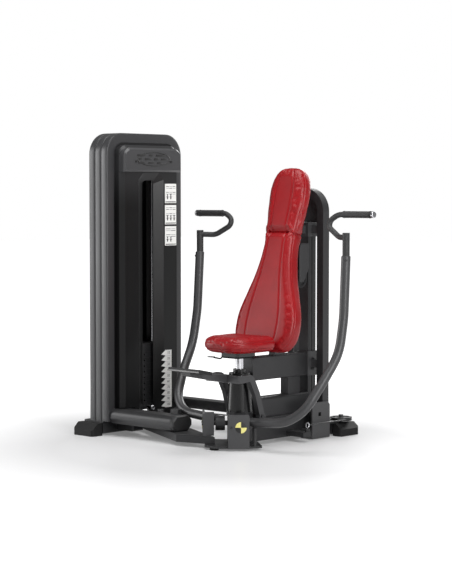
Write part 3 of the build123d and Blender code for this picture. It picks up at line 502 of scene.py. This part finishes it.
def blowUp(obj, voxel, pressure, most):
    """Foam and cover: voxel skin, cloth with pressure, and no point moves more than most."""
    activate(obj)
    obj.data.remesh_voxel_size = voxel
    bpy.ops.object.voxel_remesh()
    rest = [v.co.copy() for v in obj.data.vertices]
    cloth = obj.modifiers.new("cover", "CLOTH")
    cloth.settings.use_pressure = True
    cloth.settings.uniform_pressure_force = pressure
    cloth.settings.effector_weights.gravity = 0
    cloth.settings.tension_stiffness = 25
    cloth.settings.compression_stiffness = 25
    cloth.settings.bending_stiffness = 2
    cloth.settings.quality = 5
    cloth.point_cache.frame_start = 1
    cloth.point_cache.frame_end = coverFrames
    for step in range(1, coverFrames + 1):
        scene.frame_set(step)
    applyAll(obj)
    for vertex, start in zip(obj.data.vertices, rest):
        moved = vertex.co - start
        if moved.length > most:
            vertex.co = start + moved * (most / moved.length)
    scene.frame_set(1)


def seamed(obj, seams):
    """Each seam is (distance function of a point, half width, depth): the cover is drawn in along it."""
    finish = obj.modifiers.new("fine", "SUBSURF")
    finish.levels = finish.render_levels = 1
    applyAll(obj)
    normals = [v.normal.copy() for v in obj.data.vertices]
    for vertex, normal in zip(obj.data.vertices, normals):
        pull = 0.0
        for distance, width, depth in seams:
            away = distance(vertex.co, normal)
            if away is not None:
                pull = max(pull, depth * math.exp(-(away / width) ** 2))
        vertex.co = vertex.co - normal * pull
    activate(obj)
    bpy.ops.object.shade_smooth()
    return obj


def padBlock(name, outline, lift, back, front, edge):
    """Cut block: an outline stood up by lift(side, up, out), with a round edge."""
    count = len(outline)
    clearSelection()
    bpy.ops.mesh.primitive_circle_add(vertices=count, radius=1, fill_type="NGON")
    obj = bpy.context.object
    for vertex, point in zip(obj.data.vertices, outline):
        vertex.co = lift(point[0], point[1], back)
    edit(obj)
    bpy.ops.mesh.select_all(action="SELECT")
    thickness = lift(0, 0, front) - lift(0, 0, back)
    bpy.ops.mesh.extrude_region_move(TRANSFORM_OT_translate={"value": thickness})
    bpy.ops.object.mode_set(mode="OBJECT")
    outward(obj)
    cut = obj.modifiers.new("edge", "BEVEL")
    cut.width = edge
    cut.segments = 4
    cut.limit_method = "ANGLE"
    cut.angle_limit = math.radians(50)
    cut.use_clamp_overlap = False
    applyAll(obj)
    obj.name = name
    return obj


def widthAt(table, height):
    """Half width of an outline at a height, from (half width, height) pairs that rise."""
    for (w0, h0), (w1, h1) in zip(table, table[1:]):
        if h0 <= height <= h1:
            return w0 + (w1 - w0) * (height - h0) / (h1 - h0)
    return table[0][0] if height < table[0][1] else table[-1][0]


leanSize = {"half": 0.046, "voxel": 0.0055, "cap": 0.007, "seam": 0.0042, "draw": 0.0032,
            "frontSeam": 0.018, "rearSeam": 0.030, "flank": 0.75, "face": 0.02}
backSize = {"edge": 0.024, "slack": 0.006, "channel": 0.52, "top": 0.47, "bottom": -0.15}
headSize = {"edge": 0.030, "slack": 0.004, "channel": 0.46, "top": 0.80, "bottom": 0.44}
backSide = [(0.106, -0.142), (0.157, -0.122), (0.189, -0.072), (0.196, 0.0), (0.184, 0.070), (0.156, 0.150),
            (0.126, 0.235), (0.106, 0.320), (0.097, 0.395), (0.092, 0.452), (0.078, 0.466)]
headSide = [(0.084, 0.449), (0.101, 0.462), (0.108, 0.520), (0.1145, 0.570), (0.117, 0.640),
            (0.110, 0.704), (0.086, 0.760), (0.042, 0.789)]


def mirrored(side):
    return [(x, z) for x, z in side] + [(-x, z) for x, z in reversed(side)]


def leanSeams(table, size):
    """Two long channels that follow the outline, and a seam round the front edge and the rear edge."""
    def local(point):
        away = point - padFoot
        return away.x, away.dot(padUp), away.dot(padOut)

    def channel(sign):
        def distance(point, normal):
            side, up, out = local(point)
            if out < leanSize["face"] or not size["bottom"] < up < size["top"]:
                return None
            return side - sign * size["channel"] * widthAt(table, up)
        return distance

    def border(depth):
        def distance(point, normal):
            out = local(point)[2]
            return out - depth if abs(normal.dot(padOut)) < leanSize["flank"] else None
        return distance

    width, draw = leanSize["seam"], leanSize["draw"]
    return [(channel(1), width, draw), (channel(-1), width, draw),
            (border(leanSize["frontSeam"]), width * 0.8, draw * 0.8),
            (border(-leanSize["rearSeam"]), width * 0.7, draw * 0.6)]


backPad = padBlock("backPadSoft", roundOutline(mirrored(backSide)), onLean, -leanSize["half"],
                   leanSize["half"] - backSize["slack"], backSize["edge"])
blowUp(backPad, leanSize["voxel"], coverPressure, leanSize["cap"])
seamed(backPad, leanSeams(backSide, backSize))
give(backPad, "backPadSoft", "frame", look["red"])
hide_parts("back_pad")

headPad = padBlock("headPadSoft", roundOutline(mirrored(headSide)), onLean, -leanSize["half"],
                   leanSize["half"] - headSize["slack"], headSize["edge"])
blowUp(headPad, leanSize["voxel"], coverPressure, leanSize["cap"])
seamed(headPad, leanSeams(headSide, headSize))
give(headPad, "headPadSoft", "frame", look["red"])
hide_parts("head_pad")
print("stage: back and head pads")

seatSize = {"low": 0.4695, "high": 0.536, "edge": 0.026, "voxel": 0.0055, "cap": 0.006, "channel": 0.078,
            "upperSeam": 0.516, "lowerSeam": 0.482, "flank": 0.8}
seatSide = [(0.058, -0.156), (0.110, -0.134), (0.138, -0.084), (0.148, -0.020), (0.151, 0.050),
            (0.143, 0.102), (0.098, 0.116)]


def onSeat(side, up, out):
    return Vector((side, up, out))


seatPad = padBlock("seatPadSoft", roundOutline(mirrored(seatSide)), onSeat, seatSize["low"],
                   seatSize["high"], seatSize["edge"])
blowUp(seatPad, seatSize["voxel"], coverPressure, seatSize["cap"])


def seatChannel(sign):
    return lambda point, normal: point.x - sign * seatSize["channel"] if normal.z > 0.3 else None


def seatBorder(height):
    return lambda point, normal: point.z - height if abs(normal.z) < seatSize["flank"] else None


seamed(seatPad, [(seatChannel(1), 0.0042, 0.0030), (seatChannel(-1), 0.0042, 0.0030),
                 (seatBorder(seatSize["upperSeam"]), 0.0034, 0.0026),
                 (seatBorder(seatSize["lowerSeam"]), 0.003, 0.002)])
give(seatPad, "seatPadSoft", "seat", look["red"])
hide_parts("seat_pad")
print("stage: seat pad")


# tower: ribbed arch

archSize = {"back": -0.861, "front": -0.726, "half": 0.2675, "middle": 0.064, "top": 1.540, "foot": 0.073,
            "band": 0.048, "turn": 0.110, "rib": 0.0035, "ribs": 3, "round": 0.009,
            "lip": 0.0015, "flush": 0.010, "steps": 16}
towerMid = archSize["middle"]


def archProfile():
    """Closed section of the arch's band at its near foot: ribbed outside, flat inside."""
    crown = towerMid - archSize["half"]
    groove = crown + archSize["rib"]
    inner, flush = crown + archSize["band"], crown + archSize["flush"]
    low, lip, ease = archSize["foot"], archSize["lip"], archSize["round"]
    span = (archSize["front"] - archSize["back"]) / archSize["ribs"]
    points = []
    for rib in range(archSize["ribs"]):
        start = archSize["back"] + span * rib
        for share in (0, 0.3, 0.65, 1):
            angle = share * math.pi / 2
            points.append((start + lip + ease * (1 - math.cos(angle)),
                           groove + (crown - groove) * math.sin(angle), low))
        for share in (0, 0.35, 0.7, 1):
            angle = share * math.pi / 2
            points.append((start + span - lip - ease * (1 - math.sin(angle)),
                           groove + (crown - groove) * math.cos(angle), low))
    points += [(archSize["front"], flush, low), (archSize["front"], inner, low),
               (archSize["back"], inner, low), (archSize["back"], flush, low)]
    return points


turnHeight = archSize["top"] - archSize["turn"]
turnNear = (0, towerMid - archSize["half"] + archSize["turn"], turnHeight)
turnFar = (0, towerMid + archSize["half"] - archSize["turn"], turnHeight)
rise = turnHeight - archSize["foot"]
arch = sweep(archProfile(), [
    ("move", (0, 0, rise)),
    ("turn", turnNear, (1, 0, 0), math.radians(90), archSize["steps"]),
    ("move", (0, turnFar[1] - turnNear[1], 0)),
    ("turn", turnFar, (1, 0, 0), math.radians(90), archSize["steps"]),
    ("move", (0, 0, -rise))])
smooth(arch, 32)
give(arch, "towerArchRibbed", "frame", look["arch"])
print("stage: tower arch")
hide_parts("tower_arch")

# tower: badge relief of plain slanted bars in a ring, and the screws on the cap

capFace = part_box("tower_cap")[1][0]
badgeSize = {"sunk": 0.001, "proud": 0.0022, "lean": 0.35, "bevel": 0.0012, "middle": 1.408, "ring": 0.0345,
             "ringProud": 0.0035, "ringTall": 0.003, "stretch": 3.3, "ringSteps": 40,
             "screwOff": 0.125, "screwHeight": 1.396, "screw": 0.0052, "crown": 0.0040}
badge = []
badgeBars = [(-0.088, 1.427, 0.060, 0.009), (-0.020, 1.427, 0.030, 0.009), (0.052, 1.427, 0.072, 0.009),
             (-0.095, 1.408, 0.022, 0.011), (-0.040, 1.408, 0.046, 0.009), (0.018, 1.408, 0.030, 0.011),
             (0.072, 1.408, 0.040, 0.009), (-0.086, 1.389, 0.046, 0.009), (-0.018, 1.389, 0.044, 0.009),
             (0.040, 1.389, 0.034, 0.009)]
for offset, height, length, tall in badgeBars:
    bar = block((capFace - badgeSize["sunk"], towerMid + offset - length / 2, height - tall / 2),
                (capFace + badgeSize["proud"], towerMid + offset + length / 2, height + tall / 2), 0)
    for vertex in bar.data.vertices:
        vertex.co.y += (vertex.co.z - height) * badgeSize["lean"]
    badge.append(bevelled(bar, badgeSize["bevel"], 2))
ringWire = [(capFace - badgeSize["sunk"] + badgeSize["ringProud"] * math.cos(a), towerMid,
             badgeSize["middle"] + badgeSize["ring"] + badgeSize["ringTall"] * math.sin(a))
            for a in (0, math.pi / 2, math.pi, 3 * math.pi / 2)]
ring = sweep(ringWire, [("turn", (capFace, towerMid, badgeSize["middle"]), (1, 0, 0), math.radians(359),
                         badgeSize["ringSteps"])])
for vertex in ring.data.vertices:
    vertex.co.y = towerMid + (vertex.co.y - towerMid) * badgeSize["stretch"]
badge.append(ring)
give(smooth(join(badge)), "capRelief", "frame", look["black"])
for label, sign in (("near", -1), ("far", 1)):
    screw = bolt((capFace - 0.0005, towerMid + sign * badgeSize["screwOff"], badgeSize["screwHeight"]),
                 (1, 0, 0), badgeSize["screw"], badgeSize["crown"], 24, 0.5)
    give(screw, label + "CapScrew", "frame", look["black"])
print("stage: tower cap")

# instruction panels and weight numbers

labelSize = {"x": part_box("tower_labels")[1][0], "low": 0.163, "high": 0.245, "middles": (1.013, 1.123, 1.233),
             "film": 0.0003, "rows": 4, "firstRow": 0.036, "rowPitch": 0.009, "gap": 0.012, "barHalf": 0.0014,
             "between": 0.004, "inset": 0.008, "footLow": -0.046, "footHigh": -0.0415}
figureSize = {"film": 0.0004, "inset": 0.018, "pitch": 0.024, "head": 0.0042, "headUp": -0.008,
              "trunk": (0.0036, -0.030, -0.0135), "limb": (0.009, -0.019, -0.0165)}
stripSize = {"low": 0.119, "pitch": 0.030, "near": 0.163, "far": 0.209, "plates": 10, "step": 10,
             "letter": 0.019, "proud": 0.0004, "ruleLow": 0.0135, "ruleHigh": 0.0145, "overhang": 0.003}
inkBars, greyBars = [], []
face = labelSize["x"]


def printed(parts, name, material):
    return give(join(parts), name, "frame", material)


def inkPatch(near, far, low, high, film):
    """Thin plain patch on the panels' face."""
    return block((face, near, low), (face + film, far, high), 0)


for index, middle in enumerate(labelSize["middles"]):
    for row in range(labelSize["rows"]):
        z = middle + labelSize["firstRow"] - row * labelSize["rowPitch"]
        if row > 1:
            z -= labelSize["gap"]
        for column in range(3 if index else 2):
            width = 0.020 if index else 0.032
            y = labelSize["low"] + labelSize["inset"] + column * (width + labelSize["between"])
            target = greyBars if (row + column + index) % 2 else inkBars
            target.append(inkPatch(y, y + width, z - labelSize["barHalf"], z + labelSize["barHalf"],
                                   labelSize["film"]))
    for column in range(2 + index % 2):
        y = labelSize["low"] + figureSize["inset"] + column * figureSize["pitch"]
        headHeight = middle + figureSize["headUp"]
        inkBars.append(rod((face, y, headHeight), (face + figureSize["film"], y, headHeight),
                           figureSize["head"], 16))
        for half, low, high in (figureSize["trunk"], figureSize["limb"]):
            inkBars.append(inkPatch(y - half, y + half, middle + low, middle + high, figureSize["film"]))
    inkBars.append(inkPatch(labelSize["low"] + labelSize["between"], labelSize["high"] - labelSize["between"],
                            middle + labelSize["footLow"], middle + labelSize["footHigh"], labelSize["film"]))

for index in range(stripSize["plates"]):
    z = stripSize["low"] + stripSize["pitch"] * (index + 0.5)
    clearSelection()
    bpy.ops.object.text_add(location=(0, 0, 0))
    number = bpy.context.object
    number.data.body = str(stripSize["step"] * (stripSize["plates"] - index))
    number.data.size = stripSize["letter"]
    number.data.align_x = "CENTER"
    number.data.align_y = "CENTER"
    number.rotation_euler = (math.radians(90), 0, math.radians(90))
    number.location = (face + stripSize["proud"], (stripSize["near"] + stripSize["far"]) / 2, z)
    bpy.ops.object.convert(target="MESH")
    inkBars.append(place(bpy.context.object))
    greyBars.append(inkPatch(stripSize["near"] - stripSize["overhang"], stripSize["far"],
                             z + stripSize["ruleLow"], z + stripSize["ruleHigh"], labelSize["film"]))
printed(inkBars, "labelInk", look["black"])
printed(greyBars, "labelTint", look["greyPrint"])
print("stage: labels")

# pivot markers: quartered discs and their screws

markerSize = {"radius": 0.027, "thick": 0.0022, "height": 0.114, "out": 0.1812, "facing": math.radians(45),
              "round": 0.0005, "screw": 0.0052, "crown": 0.004, "reach": 0.046}
for side, sign in (("left", 1), ("right", -1)):
    out = Vector((sign * math.sin(markerSize["facing"]), -math.cos(markerSize["facing"]), 0))
    along = Vector((0, 0, 1)).cross(out)
    hub = out * markerSize["out"] + Vector((0, 0, markerSize["height"]))
    disc = rod(hub, hub + out * markerSize["thick"], markerSize["radius"], 48, markerSize["round"])
    for vertex in disc.data.vertices:
        vertex.co -= hub
    edit(disc)
    bpy.ops.mesh.select_all(action="SELECT")
    bpy.ops.mesh.bisect(plane_co=(0, 0, 0), plane_no=(0, 0, 1))
    bpy.ops.mesh.select_all(action="SELECT")
    bpy.ops.mesh.bisect(plane_co=(0, 0, 0), plane_no=along)
    bpy.ops.object.mode_set(mode="OBJECT")
    for vertex in disc.data.vertices:
        vertex.co += hub
    give(smooth(disc, 30), side + "MarkerDisc", "frame", look["black"])
    disc.data.materials.append(look["yellow"])
    for polygon in disc.data.polygons:
        away = Vector(polygon.center) - hub
        polygon.material_index = 1 if away.z * away.dot(along) < 0 else 0
    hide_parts("pivot_markers")
    for end in (-1, 1):
        at = hub + along * end * markerSize["reach"]
        screw = bolt(at, out, markerSize["screw"], markerSize["crown"], 24, 0.5)
        give(screw, side + "MarkerScrew" + ("A" if end < 0 else "B"), "frame", look["endCap"])
print("stage: markers")

# pedal tread: raised lozenges and a toothed metal edge

treadSize = {"y": -0.346, "z": 0.384, "tilt": math.radians(11.5), "thick": 0.016, "half": 0.1065,
             "depth": 0.046}
lozengeSize = {"rows": 5, "columns": 13, "radius": 0.0062, "tall": 0.0022, "flat": 0.42, "bevel": 0.0007,
               "across": 0.0155, "along": 0.0165}
teethSize = {"count": 30, "pitch": 0.0069, "inset": 0.007, "radius": 0.0036, "tall": 0.0065, "tip": 0.55,
             "gap": 0.001, "down": 0.0125, "barDown": 0.0145, "barInset": 0.004, "barDeep": 0.0010,
             "barTall": 0.0018, "barRound": 0.0006}
treadNormal = Vector((0, math.sin(treadSize["tilt"]), math.cos(treadSize["tilt"])))
treadAlong = Vector((0, math.cos(treadSize["tilt"]), -math.sin(treadSize["tilt"])))
treadTop = Vector((0, treadSize["y"], treadSize["z"])) + treadNormal * treadSize["thick"]
treadTurn = Matrix((Vector((1, 0, 0)), treadAlong, treadNormal)).transposed().to_4x4()


def onTread(obj, across, along, down):
    """Turns an object to lie on the tread's top, moved across it, along it and down into it."""
    at = treadTop + Vector((across, 0, 0)) + treadAlong * along - treadNormal * down
    obj.data.transform(Matrix.Translation(at) @ treadTurn)
    return obj


lozenges = []
for row in range(lozengeSize["rows"]):
    for column in range(lozengeSize["columns"]):
        clearSelection()
        bpy.ops.mesh.primitive_cylinder_add(vertices=4, radius=lozengeSize["radius"],
                                            depth=lozengeSize["tall"])
        stud = bpy.context.object
        flat = lozengeSize["flat"]
        stud.scale = (1.0, flat, 1.0) if (row + column) % 2 else (flat, 1.0, 1.0)
        place(stud)
        bevelled(stud, lozengeSize["bevel"], 1, 30)
        lozenges.append(onTread(stud, (column - lozengeSize["columns"] // 2) * lozengeSize["across"],
                                (row - lozengeSize["rows"] // 2) * lozengeSize["along"], 0))
give(join(lozenges), "treadLozenges", "pedal", look["tread"])
teeth = []
treadEdge = -treadSize["depth"] - teethSize["gap"]
for index in range(teethSize["count"]):
    clearSelection()
    bpy.ops.mesh.primitive_cylinder_add(vertices=3, radius=teethSize["radius"], depth=teethSize["tall"])
    tooth = bpy.context.object
    edit(tooth)
    pickFaces(tooth, lambda f: f.normal.z > 0.9)
    bpy.ops.transform.resize(value=(teethSize["tip"], teethSize["tip"], 1))
    bpy.ops.object.mode_set(mode="OBJECT")
    across = -treadSize["half"] + teethSize["inset"] + index * teethSize["pitch"]
    teeth.append(onTread(tooth, across, treadEdge, teethSize["down"]))
barHalf = treadSize["half"] - teethSize["barInset"]
edgeBar = block((-barHalf, -teethSize["barDeep"], -teethSize["barTall"]),
                (barHalf, teethSize["barDeep"], teethSize["barTall"]), teethSize["barRound"])
onTread(edgeBar, 0, treadEdge, teethSize["barDown"])
give(join(teeth + [edgeBar]), "treadTeeth", "pedal", look["serrated"])
print("stage: tread")

# ribbed grips and their collars

gripSize = {"y": 0.306, "z": 1.131, "start": 0.402, "end": 0.566, "radius": 0.0158, "ribs": 22,
            "rib": 0.0012, "sunk": 0.0002, "plain": 0.010, "collar": 0.0025, "collarProud": 0.0018,
            "collarRound": 0.001}
ribRun = gripSize["end"] - gripSize["start"] - 2 * gripSize["plain"]
for side, sign in (("left", 1), ("right", -1)):
    ribs = []
    for index in range(gripSize["ribs"]):
        at = gripSize["start"] + gripSize["plain"] + index * ribRun / (gripSize["ribs"] - 1)
        clearSelection()
        bpy.ops.mesh.primitive_torus_add(major_radius=gripSize["radius"] - gripSize["sunk"],
                                         minor_radius=gripSize["rib"], major_segments=32, minor_segments=8,
                                         location=(sign * at, gripSize["y"], gripSize["z"]),
                                         rotation=(0, math.radians(90), 0))
        ribs.append(place(bpy.context.object))
    collar = gripSize["collar"]
    for at in (gripSize["start"] + collar, gripSize["end"] - collar):
        ribs.append(rod((sign * (at - collar), gripSize["y"], gripSize["z"]),
                        (sign * (at + collar), gripSize["y"], gripSize["z"]),
                        gripSize["radius"] + gripSize["collarProud"], 36, gripSize["collarRound"]))
    give(smooth(join(ribs)), side + "GripRibs", side + "_arm", look["grip"])
print("stage: grips")

# bolts, caps and weld beads that the castings and tubes carry

sleeveSize = {"face": 0.0363, "y": 0.503, "upper": 1.047, "lower": 0.394, "lowest": 0.350,
              "small": 0.0075, "large": 0.0085}
armScrew = {"x": 0.484, "y": 0.2205, "z": 0.914, "surface": 0.0223, "facing": (0.686, -0.728),
            "radius": 0.0045}
boltSpots = []
for name, sign, height, radius in (("sleeveBoltUpper", 1, "upper", "small"),
                                   ("sleeveBoltUpperFar", -1, "upper", "small"),
                                   ("sleeveBoltLower", 1, "lower", "large"),
                                   ("sleeveBoltLowerB", 1, "lowest", "large"),
                                   ("sleeveBoltLowerFar", -1, "lower", "large")):
    at = (sign * sleeveSize["face"], sleeveSize["y"], sleeveSize[height])
    boltSpots.append((name, at, (sign, 0, 0), sleeveSize[radius], "frame"))
for side, sign in (("left", 1), ("right", -1)):
    out = Vector((sign * armScrew["facing"][0], armScrew["facing"][1], 0))
    at = Vector((sign * armScrew["x"], armScrew["y"], armScrew["z"])) + out * armScrew["surface"]
    boltSpots.append((side + "ArmScrew", at, out, armScrew["radius"], side + "_arm"))
for name, at, out, radius, body in boltSpots:
    give(bolt(at, out, radius, radius * 0.7, 24, 0.55), name, body, look["endCap"])


def weld(name, middle, axis, radius, body, material, bead):
    """Rippled bead round a joint between a tube and a plate."""
    clearSelection()
    bpy.ops.mesh.primitive_torus_add(major_radius=radius, minor_radius=bead, major_segments=96,
                                     minor_segments=8)
    obj = bpy.context.object
    for vertex in obj.data.vertices:
        turn = math.atan2(vertex.co.y, vertex.co.x)
        swell = 1 + 0.18 * abs(math.sin(turn * 24))
        ringPoint = Vector((math.cos(turn) * radius, math.sin(turn) * radius, 0))
        vertex.co = ringPoint + (vertex.co - ringPoint) * swell
    obj.rotation_euler = Vector(axis).to_track_quat("Z", "Y").to_euler()
    obj.location = middle
    place(obj)
    return give(smooth(obj, 60), name, body, material)


weldSize = {"run": (0.341, 0.025, 0.022), "hub": (0.067, -0.067, 0.128), "along": 0.047, "radius": 0.0229,
            "bead": 0.0030, "top": (0.4843, 0.2217, 0.9335), "topRadius": 0.0178, "topBead": 0.0022}


def toSide(point, sign):
    """The point on the left as it stands, and mirrored on the right."""
    return Vector((sign * point[0], point[1], point[2]))


for side, sign in (("left", 1), ("right", -1)):
    run = toSide(weldSize["run"], sign).normalized()
    start = toSide(weldSize["hub"], sign) + run * weldSize["along"]
    weld(side + "ArmWeld", start, run, weldSize["radius"], side + "_arm", look["arm"],
         weldSize["bead"])
    weld(side + "ArmTopWeld", toSide(weldSize["top"], sign), (0, 0, 1), weldSize["topRadius"], side + "_arm",
         look["arm"], weldSize["topBead"])

ringSize = {"major": 0.0125, "minor": 0.0034, "at": (0.1525, 0.330, 0.084)}
clearSelection()
bpy.ops.mesh.primitive_torus_add(major_radius=ringSize["major"], minor_radius=ringSize["minor"],
                                 major_segments=48, minor_segments=12, location=ringSize["at"],
                                 rotation=(math.radians(90), 0, math.radians(90)))
give(smooth(place(bpy.context.object), 60), "stationRing", "frame", look["chrome"])
print("stage: bolts and welds")

# the stretch of cable above the stack, which on the machine shortens as the stack rises; here it is a fixed rod
# with a mesh of its own

cableSize = {"x": -0.7935, "y": 0.064, "low": 0.492, "top": 1.415, "radius": 0.003, "travel": 0.35}
liftCable = rod((cableSize["x"], cableSize["y"], cableSize["low"]),
                (cableSize["x"], cableSize["y"], cableSize["top"]), cableSize["radius"], 20)
give(smooth(liftCable, 60), "liftCable", "frame", look["cable"])
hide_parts("stack_cable")
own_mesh(liftCable)
print("stage: lift cable")

# floor, light and camera

floorSize = {"side": 60, "glowStart": 0.9, "glowEnd": 2.6, "glowLow": 0.16, "glowHigh": 1.0}
clearSelection()
bpy.ops.mesh.primitive_plane_add(size=floorSize["side"], location=(0, 0, 0))
floor = bpy.context.object
floor.name = "floorSweep"
floorMaterial, floorShader, floorTree = newMaterial("paleFloor")
floorShader.inputs["Base Color"].default_value = (0.58, 0.58, 0.585, 1)
floorShader.inputs["Roughness"].default_value = 0.30
floorShader.inputs["Emission Color"].default_value = (1, 1, 1, 1)
floorCoords = floorTree.nodes.new("ShaderNodeTexCoord")
floorReach = floorTree.nodes.new("ShaderNodeVectorMath")
floorReach.operation = "LENGTH"
floorFade = floorTree.nodes.new("ShaderNodeMapRange")
floorFade.inputs["From Min"].default_value = floorSize["glowStart"]
floorFade.inputs["From Max"].default_value = floorSize["glowEnd"]
floorFade.inputs["To Min"].default_value = floorSize["glowLow"]
floorFade.inputs["To Max"].default_value = floorSize["glowHigh"]
floorTree.links.new(floorCoords.outputs["Object"], floorReach.inputs[0])
floorTree.links.new(floorReach.outputs["Value"], floorFade.inputs["Value"])
floorTree.links.new(floorFade.outputs[0], floorShader.inputs["Emission Strength"])
floor.data.materials.append(floorMaterial)

world = bpy.data.worlds.new("studio")
scene.world = world
world.use_nodes = True
worldTree = world.node_tree
seen = worldTree.nodes["Background"]
seen.inputs["Color"].default_value = (1, 1, 1, 1)
seen.inputs["Strength"].default_value = 0.20
backdrop = worldTree.nodes.new("ShaderNodeBackground")
backdrop.inputs["Color"].default_value = (1, 1, 1, 1)
backdrop.inputs["Strength"].default_value = 1.0
rays = worldTree.nodes.new("ShaderNodeLightPath")
either = worldTree.nodes.new("ShaderNodeMixShader")
worldTree.links.new(rays.outputs["Is Camera Ray"], either.inputs[0])
worldTree.links.new(seen.outputs[0], either.inputs[1])
worldTree.links.new(backdrop.outputs[0], either.inputs[2])
worldTree.links.new(either.outputs[0], worldTree.nodes["World Output"].inputs["Surface"])


def softLight(name, at, aim, size, power):
    data = bpy.data.lights.new(name, "AREA")
    data.shape = "RECTANGLE"
    data.size, data.size_y = size
    data.energy = power
    lamp = bpy.data.objects.new(name, data)
    scene.collection.objects.link(lamp)
    lamp.location = at
    lamp.rotation_euler = (Vector(aim) - Vector(at)).to_track_quat("-Z", "Y").to_euler()


softLight("rightBox", (4.4, -1.2, 2.2), (0, 0, 0.7), (1.8, 2.6), 150)
softLight("overhead", (0.3, -0.6, 4.4), (-0.2, 0, 0.6), (3.4, 3.4), 190)
softLight("leftStrip", (-4.4, -2.6, 1.6), (-0.7, 0, 0.8), (1.0, 2.8), 110)
softLight("rearRim", (-1.0, 4.4, 2.4), (-0.2, 0.2, 0.8), (3.2, 1.8), 110)

view = {"lens": 107.7, "sensor": 36, "reach": 60, "at": (5.77, -6.22, 1.224),
        "along": (-0.686, 0.728, -0.05543)}
cameraData = bpy.data.cameras.new("viewer")
cameraData.lens = view["lens"]
cameraData.sensor_width = view["sensor"]
cameraData.sensor_fit = "AUTO"
cameraData.clip_end = view["reach"]
camera = bpy.data.objects.new("viewer", cameraData)
scene.collection.objects.link(camera)
camera.location = view["at"]
camera.rotation_euler = Vector(view["along"]).to_track_quat("-Z", "Y").to_euler()
scene.camera = camera
scene.view_settings.view_transform = "Standard"
print("stage: studio")
